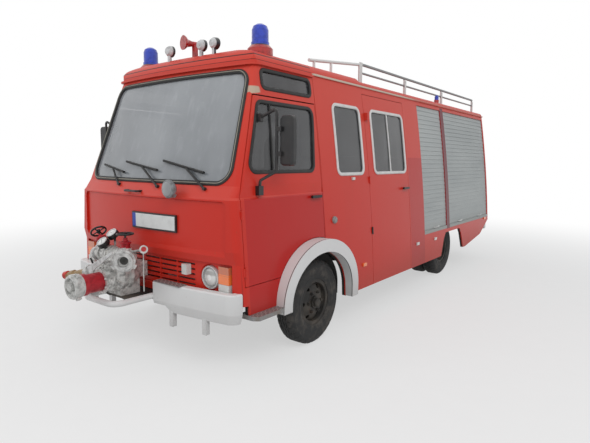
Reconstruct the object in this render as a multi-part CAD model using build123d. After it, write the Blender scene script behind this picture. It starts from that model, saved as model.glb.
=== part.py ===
from build123d import *
import math
import os

# Light fire engine: forward-control chassis, crew-cab van body with roller shutters, pump on the front.
# Millimetres, +Z up, the front faces -Y and +X is the vehicle's left.
# Stations along y are counted from the rear edge of the cab's rounded front corner and grow rearwards;
# write() shifts every piece so that the origin lies on the floor under the middle of the whole vehicle.

# Overall stations
PUMP_FRONT = -750.0
SEAM_Y = 1066.0
BODY_REAR = 6020.0
HITCH_REAR = 6150.0
FRONT_AXLE_Y = 920.0
WHEELBASE = 3320.0
REAR_AXLE_Y = FRONT_AXLE_Y + WHEELBASE
MID_Y = (PUMP_FRONT + HITCH_REAR) / 2

# Side profile: half width at three heights, joined by one arc (the walls lean in upwards)
SKIRT_Z, SKIRT_X = 336.0, 1074.0
BELT_Z, BELT_X = 1330.0, 1000.0
EAVE_Z, EAVE_X = 2331.0, 866.0
WALL = 40.0
ROOF_SKIN = 30.0
PANEL_GAP = 5.0
DOOR_CLEAR = 6.0
SEAM_GAP = 4.0
SEAT = 0.3

# Cab front: corner station at each height; the front is an arc of BOW_R in plan
BOW_R = 6290.0
CORNER_R = 58.0
FOOT_Z = 552.0
GRILLE_TOP_Z = 855.0
LIP_Z = 950.0
SILL_Z = 1420.0
HEADER_Z = 2312.0
BELT_STEP = 5.0
CAB_LEVELS = (  # height, corner station, extra half width
    (FOOT_Z, -20.0, 0.0),
    (GRILLE_TOP_Z, -25.0, 0.0),
    (LIP_Z, -50.0, 0.0),
    (BELT_Z - 8, -47.0, BELT_STEP),
    (BELT_Z + 10, -36.0, -BELT_STEP),
    (SILL_Z, 15.0, 0.0),
    (1860.0, 164.0, 0.0),
    (HEADER_Z, 317.0, 0.0),
    (EAVE_Z, 324.0, 0.0),
)
PILLAR_LAP = 12.0

# Recessed front panel: half width, heights where it starts, reaches full depth, ends its depth and closes
RECESS_X = 925.0
RECESS_Z = (900.0, 942.0, 1304.0, 1312.0)
RECESS_DEPTH = 16.0
RECESS_R = 40.0

# Roofs
CAB_CROWN = 2512.0
ROOF_EDGE_Z = CAB_CROWN - 143.0
CAB_ROOF_REAR = 1900.0
CAB_SHOULDER = (795.0, CAB_CROWN - 66.0)
ROOF_HOLLOW_Z = CAB_CROWN - 72.0
BEACON_Z = CAB_CROWN - 72.0
HORN_Z = CAB_CROWN + 76.0
ROOF_LAMP_Z = CAB_CROWN + 38.0
BODY_SHOULDER = (800.0, 2415.0)
BODY_CROWN = 2470.0

# Floors
FLOOR_Z = 690.0
FLOOR_T = 35.0
DECK_Z = 930.0
DECK_Y = (430.0, 1480.0)
FIREWALL_Y = 36.0
BULKHEAD_Y = 3190.0
BULKHEAD_T = 25.0

# Windows and doors, stations and heights
WINDSCREEN = (900.0, 1436.0, 825.0, 2285.0, 110.0)  # bottom half width, bottom z, top half width, top z, corner
CAB_DOOR_Y = (8.0, 1058.0)
CAB_DOOR_Z = (FLOOR_Z, 2104.0)
CAB_DOOR_TOP_Y = 262.0
CREW_DOOR_Y = (1925.0, 2875.0)
CREW_DOOR_Z = (SKIRT_Z, 2286.0)
DOOR_WINDOW = ((126.0, 1520.0), (955.0, 1520.0), (1012.0, 2053.0), (300.0, 2053.0))
TOP_WINDOW = ((375.0, 2159.0), (1015.0, 2159.0), (1010.0, 2300.0), (375.0, 2300.0))
CREW_WINDOWS = (  # front station, rear station, bottom, top
    (1341.0, 1824.0, 1484.0, 2130.0),
    (2056.0, 2816.0, 1484.0, 2130.0),
)
WINDOW_R = 60.0
GLASS_IN = 9.0
GLASS_T = 6.0

# Roller shutters: stations of the side openings, and the rear opening
SHUTTER_Z = (FLOOR_Z, 2302.0)
SHUTTERS = ((3298.0, 4082.0), (4190.0, 5987.0))
REAR_SHUTTER_X = 640.0
REAR_SHUTTER_Z = (FLOOR_Z, 2200.0)
SLAT_PITCH = 55.0
SLAT_IN = 10.0
SLAT_T = 10.0
SLAT_STEP = 5.0
RAIL_LIP = 42.0

# Wheels: 6.50-16 tyres
TYRE_R = 372.5
TYRE_W = 180.0
RIM_R = 203.0
FRONT_WHEEL_X = 960.0
KINGPIN_X = 800.0
TWIN_OUT_X = 850.0
TWIN_IN_X = 636.0
HUB_BORE = 30.0
ARM_REACH = 170.0
BALL_R = 9.0
RUNNING = 0.05

# Front arch and its white flare: half widths, crown heights and legs
ARCH_Y = 910.0
ARCH_SPRING_Z = 450.0
ARCH_IN = (462.0, 833.0)
ARCH_OUT = (566.0, 944.0)
FLARE_X = 1150.0
FLARE_LEG_Z = (420.0, 340.0)
REAR_ARCH = ((3830.0, 300.0), (3960.0, 560.0), (4030.0, 640.0), (4600.0, 640.0), (4660.0, 560.0), (4760.0, 300.0))

# Frame
RAIL_X = 380.0
RAIL_Z = (500.0, 640.0)
RAIL_W = 60.0
RAIL_T = 8.0
RAIL_Y = (-40.0, 5960.0)
ENGINE_X = 240.0
CROSS_Y = (-20.0, 1300.0, 2200.0, 2900.0, 3600.0, 4980.0, 5900.0)
OUTRIGGER_Y = (1560.0, 2300.0, 3100.0, 5200.0)
ENGINE_MOUNT_Y = (430.0, 1010.0)
HITCH_Z = 560.0
RIB_Z = 512.0

# Pump seat
PUMP_Y = (-420.0, -180.0)
PUMP_FOOT_Z = 545.0


def face_of(points):
    return Face(Wire.make_polygon([Vector(*p) for p in points], close=True))


def prism(points, along):
    return Solid.extrude(face_of(points), Vector(*along))


def block(x, y, z):
    size = Box(x[1] - x[0], y[1] - y[0], z[1] - z[0])
    return Pos((x[0] + x[1]) / 2, (y[0] + y[1]) / 2, (z[0] + z[1]) / 2) * size


def bar(start, end, radius):
    line = Vector(*end) - Vector(*start)
    return Solid.make_cylinder(radius, line.length, Plane(origin=start, z_dir=line.normalized()))


def tube(points, radius, bend):
    path = FilletPolyline(*[Vector(*p) for p in points], radius=bend)
    section = Plane(origin=path @ 0, z_dir=path % 0) * Circle(radius)
    return sweep(section, path=path)


def turned(profile, origin, axis):
    """Revolve a profile of (radius, distance along the axis) pairs about an axis through origin."""
    body = Solid.revolve(face_of([(r, 0, d) for r, d in profile]), 360, Axis.Z)
    return Plane(origin=origin, z_dir=axis).location * body


def pair(shape):
    return [shape, mirror(shape, about=Plane.YZ)]


def side_prism(points, x0, x1):
    """Extrude an outline of (station, height) pairs from x0 to x1."""
    return prism([(x0, y, z) for y, z in points], (x1 - x0, 0, 0))


def rounded_yz(points, radius, x0, x1):
    """The same, with every corner of the outline rounded."""
    outline = FilletPolyline(*[Vector(x0, y, z) for y, z in points], radius=radius, close=True)
    return Solid.extrude(Face(outline), Vector(x1 - x0, 0, 0))


def write(name, *shapes):
    solids = [s for shape in shapes for s in shape.solids()]
    whole = solids[0] if len(solids) == 1 else Compound(solids)
    export_step(whole.moved(Location((0, -MID_Y, 0))), f"parts/{name}.step")


def circle_through(a, b, c):
    """Centre and radius of the circle through three points."""
    (ax, ay), (bx, by), (cx, cy) = a, b, c
    d = 2 * (ax * (by - cy) + bx * (cy - ay) + cx * (ay - by))
    sa, sb, sc = ax * ax + ay * ay, bx * bx + by * by, cx * cx + cy * cy
    ux = (sa * (by - cy) + sb * (cy - ay) + sc * (ay - by)) / d
    uy = (sa * (cx - bx) + sb * (ax - cx) + sc * (bx - ax)) / d
    return ux, uy, math.hypot(ax - ux, ay - uy)


SIDE_CX, SIDE_CZ, SIDE_R = circle_through((SKIRT_X, SKIRT_Z), (BELT_X, BELT_Z), (EAVE_X, EAVE_Z))


def side_x(z, inset=0.0):
    return SIDE_CX + math.sqrt((SIDE_R - inset) ** 2 - (z - SIDE_CZ) ** 2)


def section(inset, low, shoulder, crown):
    """Body cross-section: leaning side arcs, rounded shoulders and a crowned roof."""
    mid = (low + ROOF_EDGE_Z) / 2
    foot = Vector(side_x(low, inset), 0, low)
    waist = Vector(side_x(mid, inset), 0, mid)
    edge = Vector(side_x(ROOF_EDGE_Z, inset), 0, ROOF_EDGE_Z)
    top = Vector(shoulder[0] - inset, 0, shoulder[1] - inset)
    bulge = Vector((edge.X + top.X) / 2 + 12, 0, (edge.Z + top.Z) / 2 + 12)

    def left(p):
        return Vector(-p.X, p.Y, p.Z)

    edges = [
        ThreePointArc(foot, waist, edge),
        ThreePointArc(edge, bulge, top),
        ThreePointArc(top, Vector(0, 0, crown - inset), left(top)),
        ThreePointArc(left(top), left(bulge), left(edge)),
        ThreePointArc(left(edge), left(waist), left(foot)),
        Line(left(foot), foot),
    ]
    return Face(Wire(edges))


def body_prism(inset, y0, y1, low=SKIRT_Z, shoulder=BODY_SHOULDER, crown=BODY_CROWN):
    face = section(inset, low, shoulder, crown)
    return Solid.extrude(face.moved(Location((0, y0, 0))), Vector(0, y1 - y0, 0))


def plan_outline(z, half, corner_y, inset, rear, corner_r=CORNER_R):
    """Cab outline in plan: straight sides, arc front of BOW_R, round front corners."""
    bow_y = corner_y + math.sqrt(BOW_R**2 - half**2)
    r = max(corner_r - inset, 8.0)
    big = BOW_R - inset
    side = half - inset
    cx = side - r
    cy = bow_y - math.sqrt((big - r) ** 2 - cx**2)
    tip = Vector(cx, cy - bow_y, 0).normalized()
    on_bow = Vector(tip.X * big, bow_y + tip.Y * big, z)
    turn = math.atan2(tip.Y, tip.X) / 2
    middle = Vector(cx + r * math.cos(turn), cy + r * math.sin(turn), z)
    on_side = Vector(side, cy, z)
    back = Vector(side, rear, z)

    def left(p):
        return Vector(-p.X, p.Y, p.Z)

    return Wire(
        [
            Line(back, on_side),
            ThreePointArc(on_side, middle, on_bow),
            ThreePointArc(on_bow, Vector(0, bow_y - big, z), left(on_bow)),
            ThreePointArc(left(on_bow), left(middle), left(on_side)),
            Line(left(on_side), left(back)),
            Line(left(back), back),
        ]
    )


def cab_hull(inset, reach=0.0, rear=SEAM_Y):
    """Solid inside the cab's walls, a ruled loft through the levels; reach lengthens both ends."""
    wires = [plan_outline(z, side_x(z) + extra, corner, inset, rear + reach) for z, corner, extra in CAB_LEVELS]
    if reach > 0:
        wires.insert(0, wires[0].moved(Location((0, 0, -reach))))
        wires.append(wires[-1].moved(Location((0, 0, reach))))
    return Solid.make_loft(wires, ruled=True)


def plan_prism(half, corner_y, inset, rear, z0, z1, corner_r=CORNER_R):
    return Solid.extrude(Face(plan_outline(z0, half, corner_y, inset, rear, corner_r)), Vector(0, 0, z1 - z0))


CAB_OUT = cab_hull(0.0)
CAB_IN = cab_hull(WALL, reach=20.0)


def window_cut(points, grow, x0, x1, radius=WINDOW_R):
    """Prism through a side window; grow widens the outline all round."""
    cy = sum(p[0] for p in points) / len(points)
    cz = sum(p[1] for p in points) / len(points)
    wide = [(y + grow * math.copysign(1, y - cy), z + grow * math.copysign(1, z - cz)) for y, z in points]
    return rounded_yz(wide, radius + grow, x0, x1)


def rect(y0, y1, z0, z1):
    return ((y0, z0), (y1, z0), (y1, z1), (y0, z1))


def windscreen_cut(grow):
    low, z0, high, z1, radius = WINDSCREEN
    points = [(-low - grow, z0 - grow), (low + grow, z0 - grow), (high + grow, z1 + grow), (-high - grow, z1 + grow)]
    outline = FilletPolyline(*[Vector(x, -300, z) for x, z in points], radius=radius + grow, close=True)
    return Solid.extrude(Face(outline), Vector(0, 760, 0))


def arch(half, crown, x0, x1, low=FLARE_LEG_Z[1] - 120):
    """Arch-shaped prism: straight legs below the springing, half an ellipse above."""
    legs = side_prism(rect(ARCH_Y - half, ARCH_Y + half, low, ARCH_SPRING_Z), x0, x1)
    top = Ellipse(half, crown - ARCH_SPRING_Z)
    dome = extrude(Plane(origin=(x0, ARCH_Y, ARCH_SPRING_Z), x_dir=(0, 1, 0), z_dir=(1, 0, 0)) * top, x1 - x0)
    dome = dome & block((x0, x1), (ARCH_Y - 2 * half, ARCH_Y + 2 * half), (ARCH_SPRING_Z, crown + 10))
    return legs + dome


def cab_door_outline(gap):
    """Prism through the left cab door; gap draws its edges in."""
    y0, y1 = CAB_DOOR_Y
    z0, z1 = CAB_DOOR_Z
    points = [
        (y0 + gap, z0 + gap),
        (y1 - gap, z0 + gap),
        (y1 - gap, z1 - gap * 2),
        (CAB_DOOR_TOP_Y + gap, z1 - gap * 2),
        (y0 + gap, BELT_Z + 10),
    ]
    leaf = side_prism(points, 700, 1300) - arch(ARCH_OUT[0] + gap, ARCH_OUT[1] + gap, 690, 1310)
    return leaf - body_prism(WALL + PILLAR_LAP + PANEL_GAP - gap, -400, 1300, low=FOOT_Z - 200)


def cab_door_room():
    """Room inside the cab that the left door's inner face needs."""
    leaf = side_prism(rect(CAB_DOOR_Y[0] - 3, CAB_DOOR_Y[1] + 5, CAB_DOOR_Z[0], CAB_DOOR_Z[1]), 700, 1300)
    return leaf - cab_hull(WALL + DOOR_CLEAR, reach=20.0)


def crew_door_room():
    """The same for the left crew door."""
    leaf = side_prism(rect(CREW_DOOR_Y[0] - 4, CREW_DOOR_Y[1] + 4, CREW_DOOR_Z[0] - 50, CREW_DOOR_Z[1] + 4), 700, 1300)
    inner = body_prism(WALL + DOOR_CLEAR, CREW_DOOR_Y[0] - 20, CREW_DOOR_Y[1] + 20, low=CREW_DOOR_Z[0] - 80)
    return leaf - inner


def corner_at(z):
    """Corner station and extra half width of the cab at a height, between the levels."""
    for (z0, c0, e0), (z1, c1, e1) in zip(CAB_LEVELS, CAB_LEVELS[1:]):
        if z0 <= z <= z1:
            t = (z - z0) / (z1 - z0)
            return c0 + (c1 - c0) * t, e0 + (e1 - e0) * t
    raise ValueError(f"height {z} is outside the cab")


def front_recess():
    """Room of the shallow recess in the front panel: its floor is a loft set back from the skin."""
    depths = (-2.0, RECESS_DEPTH, RECESS_DEPTH, -2.0)
    wires = []
    for z, depth in zip(RECESS_Z, depths):
        corner, extra = corner_at(z)
        wires.append(plan_outline(z, side_x(z) + extra, corner + depth, 0, SEAM_Y))
    x, low, high = RECESS_X, RECESS_Z[0] + 1, RECESS_Z[-1] - 1
    points = [(-x, low), (x, low), (x, high), (-x, high)]
    outline = FilletPolyline(*[Vector(px, -400, pz) for px, pz in points], radius=RECESS_R, close=True)
    return Solid.extrude(Face(outline), Vector(0, 480, 0)) - Solid.make_loft(wires, ruled=True)


# Cab

def cab_shell():
    shell = CAB_OUT - CAB_IN
    shell -= windscreen_cut(0)
    shell -= block((-GRILLE_X - 1, GRILLE_X + 1), (-260, 30), (FOOT_Z + 60, GRILLE_TOP_Z - 3)) & cab_hull(-1.0)
    shell -= front_recess()
    for cut in (cab_door_outline(0), window_cut(TOP_WINDOW, 0, 700, 1300, 40.0), arch(*ARCH_IN, 700, 1300)):
        for half in pair(cut):
            shell -= half
    for half in pair(sill_panel()):
        shell += half
    for z, length in CAB_HINGES:
        for half in pair(hinge_lug(CAB_AXIS_Y, CAB_AXIS_Z, z, length, CAB_DOOR_Y[0])):
            shell += half
    return shell


def sill_panel():
    """Narrow skirt below the cab wall, from its corner to the wheel arch; the step hangs on it."""
    low, high = STEP_TOP_Z, FOOT_Z + 20
    points = [(side_x(low) - WALL, low), (side_x(low), low), (side_x(FOOT_Z), FOOT_Z)]
    points += [(side_x(high) - 3, high), (side_x(high) - WALL + 3, high), (side_x(FOOT_Z) - WALL, FOOT_Z)]
    return prism([(x, SILL_Y[0], z) for x, z in points], (0, SILL_Y[1] - SILL_Y[0], 0))


def cab_door(inner_hull):
    panel = (CAB_OUT - inner_hull) & cab_door_outline(PANEL_GAP)
    panel -= window_cut(DOOR_WINDOW, 0, 700, 1300)
    for z, length in CAB_HINGES:
        panel += bar(hinge_point(CAB_AXIS_Y, CAB_AXIS_Z, z), hinge_point(CAB_AXIS_Y, CAB_AXIS_Z, z + length), HINGE_R)
    panel += door_handle(CAB_DOOR_Y[1] - 125, 1303.0)
    return panel


SILL_Y = (35.0, 447.0)
STEP_TOP_Z = 482.0
CAB_AXIS_Y = 20.0
CAB_AXIS_Z = 1000.0
CREW_AXIS_Y = 1938.0
CREW_AXIS_Z = 1150.0
HINGE_R = 8.0
TOP_HINGE_Z = (2022.0, 2096.0)
CAB_HINGES = ((765.0, 70.0), (1180.0, 70.0))  # foot and length of each barrel
CREW_HINGES = ((860.0, 75.0), (1380.0, 75.0))


def side_slope(z):
    """How fast the wall leans in at a height, as x per z."""
    return -(z - SIDE_CZ) / math.sqrt(SIDE_R**2 - (z - SIDE_CZ) ** 2)


def hinge_point(y, axis_z, z):
    """Place at height z on a door's leaning hinge axis, which touches the skin at axis_z."""
    return Vector(side_x(axis_z) + 1 + side_slope(axis_z) * (z - axis_z), y, z)


def hinge_lug(axis_y, axis_z, z, length, edge_y):
    """Fixed lug in front of a door's hinge barrel, hollowed to the barrel with a running fit."""
    x = hinge_point(axis_y, axis_z, z + length / 2).X
    lug = block((x - 30, x + 7), (edge_y - 8, edge_y), (z + 4, z + length - 4))
    lug += block((x + 3.5, x + 9), (edge_y - 1, axis_y - 4), (z + 4, z + length - 4))
    low, high = hinge_point(axis_y, axis_z, z - 10), hinge_point(axis_y, axis_z, z + length + 10)
    return lug - bar(low, high, HINGE_R + SEAT)


def door_handle(y, z):
    """Pull handle: a grip on two posts let into the door's skin."""
    x = side_x(z)
    grip = block((x + 22, x + 36), (y - 70, y + 70), (z - 12, z + 12))
    posts = [block((x - 10, x + 23), (y + s - 9, y + s + 9), (z - 9, z + 9)) for s in (-55, 55)]
    return grip + posts[0] + posts[1]


def door_glass(hull_a, hull_b, points):
    return (hull_a - hull_b) & window_cut(points, -SEAT, 700, 1300)


def crew_door():
    outer = body_prism(0, CREW_DOOR_Y[0] - 10, CREW_DOOR_Y[1] + 10)
    inner = body_prism(WALL, CREW_DOOR_Y[0] - 20, CREW_DOOR_Y[1] + 20, low=SKIRT_Z - 40)
    leaf = side_prism(
        rect(CREW_DOOR_Y[0] + PANEL_GAP, CREW_DOOR_Y[1] - PANEL_GAP, CREW_DOOR_Z[0] + 1, CREW_DOOR_Z[1] - PANEL_GAP),
        700,
        1300,
    )
    panel = (outer - inner) & leaf
    panel -= window_cut(rect(*CREW_WINDOWS[1]), 0, 700, 1300)
    for z, length in CREW_HINGES:
        panel += bar(hinge_point(CREW_AXIS_Y, CREW_AXIS_Z, z), hinge_point(CREW_AXIS_Y, CREW_AXIS_Z, z + length), HINGE_R)
    low, high = TOP_HINGE_Z
    middle = (low + high) / 2
    knuckle_x = hinge_point(CREW_AXIS_Y, CREW_AXIS_Z, middle).X
    panel += block((side_x(middle) - 8, knuckle_x + 14), (CREW_AXIS_Y - 6, CREW_AXIS_Y + 34), (low, high))
    panel += door_handle(CREW_DOOR_Y[1] - 122, 1302.0)
    return panel


def body_layer(inset_a, inset_b, y0, y1):
    return body_prism(inset_a, y0, y1, low=SKIRT_Z - 20) - body_prism(inset_b, y0 - 5, y1 + 5, low=SKIRT_Z - 40)


def windscreen():
    return (cab_hull(GLASS_IN) - cab_hull(GLASS_IN + GLASS_T, reach=20.0)) & windscreen_cut(-SEAT)


def side_glass():
    layer = cab_hull(GLASS_IN) - cab_hull(GLASS_IN + GLASS_T, reach=20.0)
    panes = [layer & window_cut(TOP_WINDOW, -SEAT, 700, 1300, 40.0)]
    y0, y1, z0, z1 = CREW_WINDOWS[0]
    panes.append(body_layer(GLASS_IN, GLASS_IN + GLASS_T, y0 - 5, y1 + 5) & window_cut(rect(y0, y1, z0, z1), -SEAT, 700, 1300))
    return [side for pane in panes for side in pair(pane)]


def brow():
    """Solid under the curved front of the cab roof, turned about the bow's axis."""
    half = side_x(EAVE_Z)
    bow_y = CAB_LEVELS[-1][1] + math.sqrt(BOW_R**2 - half**2)
    r = BOW_R

    def at(back, z):
        return Vector(-(r - back), bow_y, z)

    edges = [
        Line(at(0, EAVE_Z), at(0, ROOF_EDGE_Z)),
        ThreePointArc(at(0, ROOF_EDGE_Z), at(26, ROOF_EDGE_Z + 62), at(110, ROOF_EDGE_Z + 108)),
        Line(at(110, ROOF_EDGE_Z + 108), at(800, CAB_CROWN + 2)),
        Line(at(800, CAB_CROWN + 2), Vector(0, bow_y, CAB_CROWN + 2)),
        Line(Vector(0, bow_y, CAB_CROWN + 2), Vector(0, bow_y, EAVE_Z)),
        Line(Vector(0, bow_y, EAVE_Z), at(0, EAVE_Z)),
    ]
    return Solid.revolve(Face(Wire(edges)), 180, Axis((0, bow_y, 0), (0, 0, 1)))


def cab_roof_solid():
    half = side_x(EAVE_Z)
    corner = CAB_LEVELS[-1][1]
    top = body_prism(0, -300, CAB_ROOF_REAR, low=EAVE_Z, shoulder=CAB_SHOULDER, crown=CAB_CROWN)
    round_plan = plan_prism(half + 1, corner, 0, CAB_ROOF_REAR, EAVE_Z, CAB_CROWN + 20)
    slope = prism([(-1200, CAB_ROOF_REAR - 80, CAB_CROWN + 4), (-1200, CAB_ROOF_REAR + 1, BODY_CROWN), (-1200, CAB_ROOF_REAR + 1, CAB_CROWN + 4)], (2400, 0, 0))
    return (top & brow() & round_plan) - slope


CAB_ROOF_SOLID = cab_roof_solid()


def cab_roof():
    half = side_x(EAVE_Z)
    corner = CAB_LEVELS[-1][1]
    hollow = body_prism(ROOF_SKIN, -300, CAB_ROOF_REAR - ROOF_SKIN, low=EAVE_Z - 5, shoulder=CAB_SHOULDER, crown=CAB_CROWN)
    hollow &= plan_prism(half, corner, ROOF_SKIN + 10, CAB_ROOF_REAR - 120, EAVE_Z - 5, ROOF_HOLLOW_Z)
    lip = plan_prism(half + 22, corner - 22, 0, SEAM_Y - 1, EAVE_Z, EAVE_Z + 16, CORNER_R + 22)
    lip -= plan_prism(half - 5, corner + 5, 0, SEAM_Y + 10, EAVE_Z - 5, EAVE_Z + 30)
    return CAB_ROOF_SOLID - hollow + lip


def body_roof():
    y0 = CAB_ROOF_REAR + SEAT
    top = body_prism(0, y0, BODY_REAR, low=EAVE_Z)
    return top - body_prism(ROOF_SKIN, y0 - 5, BODY_REAR - WALL, low=EAVE_Z - 5)


def cab_floor():
    inside = cab_hull(WALL + SEAT, reach=0.0)
    footwell = inside & block((-1100, 1100), (FIREWALL_Y, DECK_Y[0]), (FLOOR_Z - FLOOR_T, FLOOR_Z))
    firewall = inside & block((-1100, 1100), (FIREWALL_Y, FIREWALL_Y + 16), (FLOOR_Z - FLOOR_T, LIP_Z + 50))
    firewall += inside & block((-1100, 1100), (-300, FIREWALL_Y + 16), (LIP_Z + 34, LIP_Z + 50))
    riser = inside & block((-1100, 1100), (DECK_Y[0] - FLOOR_T, DECK_Y[0]), (FLOOR_Z - FLOOR_T, DECK_Z))
    deck = (inside & block((-1100, 1100), (DECK_Y[0] - FLOOR_T, SEAM_Y - 1), (DECK_Z - FLOOR_T, DECK_Z)))
    back_inside = body_prism(WALL + SEAT, SEAM_Y - 1, DECK_Y[1], low=SKIRT_Z)
    deck += back_inside & block((-1100, 1100), (SEAM_Y - 1, DECK_Y[1]), (DECK_Z - FLOOR_T, DECK_Z))
    back = back_inside & block((-1100, 1100), (DECK_Y[1] - FLOOR_T, DECK_Y[1]), (FLOOR_Z - FLOOR_T, DECK_Z))
    floor = footwell + firewall + riser + deck + back
    cover = block((-350, 350), (240, 1240), (FLOOR_Z - FLOOR_T, 1180)) - block((-330, 330), (260, 1220), (500, 1160))
    floor = floor - block((-330, 330), (260, 1220), (500, 1160)) + cover
    for room in pair(cab_door_room()):
        floor -= room
    return floor


def body_floor():
    inside = body_prism(WALL + SEAT, DECK_Y[1], BODY_REAR - WALL - SEAT, low=SKIRT_Z)
    floor = inside & block((-1100, 1100), (DECK_Y[1] + SEAT, BODY_REAR), (FLOOR_Z - FLOOR_T, FLOOR_Z))
    bulkhead = inside & block((-1100, 1100), (BULKHEAD_Y, BULKHEAD_Y + BULKHEAD_T), (FLOOR_Z - 1, EAVE_Z - 1))
    floor += bulkhead
    well = block((500, 1100), (REAR_AXLE_Y - 440, REAR_AXLE_Y + 440), (FLOOR_Z - FLOOR_T, 850)) & inside
    hollow = block((520, 1200), (REAR_AXLE_Y - 420, REAR_AXLE_Y + 420), (300, 830))
    for box, room in zip(pair(well), pair(hollow)):
        floor = floor + box - room
    for room in pair(crew_door_room()):
        floor -= room
    return floor


def body_shell():
    y0 = SEAM_Y + SEAM_GAP
    shell = body_prism(0, y0, BODY_REAR) & block((-1200, 1200), (y0, BODY_REAR), (SKIRT_Z, EAVE_Z))
    shell -= body_prism(WALL, y0 - 5, BODY_REAR - WALL, low=SKIRT_Z - 20)
    cuts = [arch(*ARCH_IN, 700, 1300)]
    cuts.append(side_prism(rect(*CREW_DOOR_Y, CREW_DOOR_Z[0] - 50, CREW_DOOR_Z[1]), 700, 1300))
    cuts.append(window_cut(rect(*CREW_WINDOWS[0]), 0, 700, 1300))
    cuts += [side_prism(rect(*station, *SHUTTER_Z), 700, 1300) for station in SHUTTERS]
    cuts.append(side_prism(REAR_ARCH, 700, 1300))
    cuts.append(side_prism(((4840, 300), (4840, 336), (5580, 440), (6021, 640), (6021, 300)), 700, 1300))
    for cut in cuts:
        for half in pair(cut):
            shell -= half
    x = REAR_SHUTTER_X
    shell -= block((-x, x), (BODY_REAR - WALL - 5, BODY_REAR + 5), REAR_SHUTTER_Z)
    shell -= block((-1000, 1000), (BODY_REAR - WALL - 5, BODY_REAR + 5), (300, 620))
    for z, length in CREW_HINGES:
        for half in pair(hinge_lug(CREW_AXIS_Y, CREW_AXIS_Z, z, length, CREW_DOOR_Y[0])):
            shell += half
    return shell


def gutters():
    y = (SEAM_Y + SEAM_GAP, BODY_REAR)
    x = side_x(2355)
    strip = [(x + 15, 2352), (x + 20, 2366), (x + 14, 2367), (700, 2367), (700, 2352)]
    bar_ = prism([(x, y[0], z) for x, z in strip], (0, y[1] - y[0], 0))
    bar_ -= body_prism(0, y[0] - 5, y[1] + 5, low=EAVE_Z - 200)
    return pair(bar_.solids().sort_by(Axis.X)[-1])


# Shutters

def slat_profile(z0, z1, x_at):
    """Outline of a shutter curtain: each slat leans out and steps back at its foot."""
    count = int((z1 - z0) // SLAT_PITCH)
    pitch = (z1 - z0) / count
    outer = []
    for i in range(count):
        z = z0 + i * pitch
        outer += [(x_at(z), z), (x_at(z + pitch) - SLAT_STEP, z + pitch)]
    inner = [(x_at(z1) - SLAT_STEP - SLAT_T, z1), (x_at((z0 + z1) / 2) - SLAT_STEP - SLAT_T, (z0 + z1) / 2)]
    return outer + inner + [(x_at(z0) - SLAT_STEP - SLAT_T, z0)]


def shutters():
    curtains = []
    z0, z1 = SHUTTER_Z[0] + SEAT, SHUTTER_Z[1] - SEAT
    for y0, y1 in SHUTTERS:
        outline = slat_profile(z0, z1, lambda z: side_x(z) - SLAT_IN)
        curtain = prism([(x, y0 + SEAT, z) for x, z in outline], (0, y1 - y0 - 2 * SEAT, 0))
        x = side_x(z0 + 40) - SLAT_IN
        end_rail = block((x - 12, x + 12), (y0 + SEAT, y1 - SEAT), (z0, z0 + RAIL_LIP))
        curtains += pair(curtain + end_rail)
    z0, z1 = REAR_SHUTTER_Z[0] + SEAT, REAR_SHUTTER_Z[1] - SEAT
    x = REAR_SHUTTER_X - SEAT
    outline = slat_profile(z0, z1, lambda z: BODY_REAR - SLAT_IN)
    curtain = prism([(-x, y, z) for y, z in outline], (2 * x, 0, 0))
    y = BODY_REAR - SLAT_IN
    end_rail = block((-x, x), (y - 12, y + 12), (z0, z0 + RAIL_LIP))
    return curtains + [curtain + end_rail]


# Front: grille, bumper, lamps

GRILLE_X = 964.0
GRILLE_SLOTS = (648.0, 40.0, 15.0, 5)  # lowest slot, pitch, slot height, rows
GRILLE_RIBS = (-600.0, 200.0, 12.0, 6)  # first rib, spacing, rib width, bays
LAMP_IN = 8.0
GRILLE_Z = (FOOT_Z + 60 + SEAT, GRILLE_TOP_Z - 3 - SEAT)
LAMP_X, LAMP_Z, LAMP_R = 750.0, 735.0, 86.0
INDICATOR_X = (840.0, 945.0)
INDICATOR_Z = (636.0, 832.0)
SMALL_LAMP_X = (495.0, 552.0)
SMALL_LAMP_Z = (735.0, 815.0)


def front_y(x, z):
    """Station of the cab's front skin at a place."""
    return corner_at(z)[0] + math.sqrt(BOW_R**2 - side_x(z) ** 2) - math.sqrt(BOW_R**2 - x * x)


def grille():
    """Panel behind the shell's opening: rows of slots between ribs, dished rooms for the headlamps."""
    zone = block((-GRILLE_X, GRILLE_X), (-400, 28), GRILLE_Z)
    panel = (cab_hull(22.0) - cab_hull(22.0 + 18, reach=20.0)) & zone
    low, pitch, height, rows = GRILLE_SLOTS
    first, spacing, rib, bays = GRILLE_RIBS
    for row in range(rows):
        z = low + row * pitch
        for bay in range(bays):
            x = first + bay * spacing
            panel -= block((x + rib / 2, x + spacing - rib / 2), (-400, 200), (z, z + height))
    y = front_y(LAMP_X, LAMP_Z)
    dish = turned([(0, 0), (LAMP_R + 26, 0), (LAMP_R + 8, 32), (0, 32)], (LAMP_X, y, LAMP_Z), (0, 1, 0))
    hole = bar((LAMP_X, -300, LAMP_Z), (LAMP_X, 60, LAMP_Z), LAMP_R + SEAT)
    x0, x1 = INDICATOR_X[0] - SEAT, INDICATOR_X[1] + SEAT
    window = block((x0, x1), (-300, 200), (INDICATOR_Z[0] - SEAT, INDICATOR_Z[1] + SEAT))
    for cut in (dish, hole, window):
        for half in pair(cut):
            panel -= half
    return panel


STEP_LAMP = (1600.0, 1440.0)


def headlamps():
    y = front_y(LAMP_X, LAMP_Z)
    profile = [(0, 0), (60, 4), (78, 14), (80, 20), (LAMP_R, 20), (LAMP_R, 50), (70, 60), (0, 75)]
    return pair(turned(profile, (LAMP_X, y + LAMP_IN, LAMP_Z), (0, 1, 0)))


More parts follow.
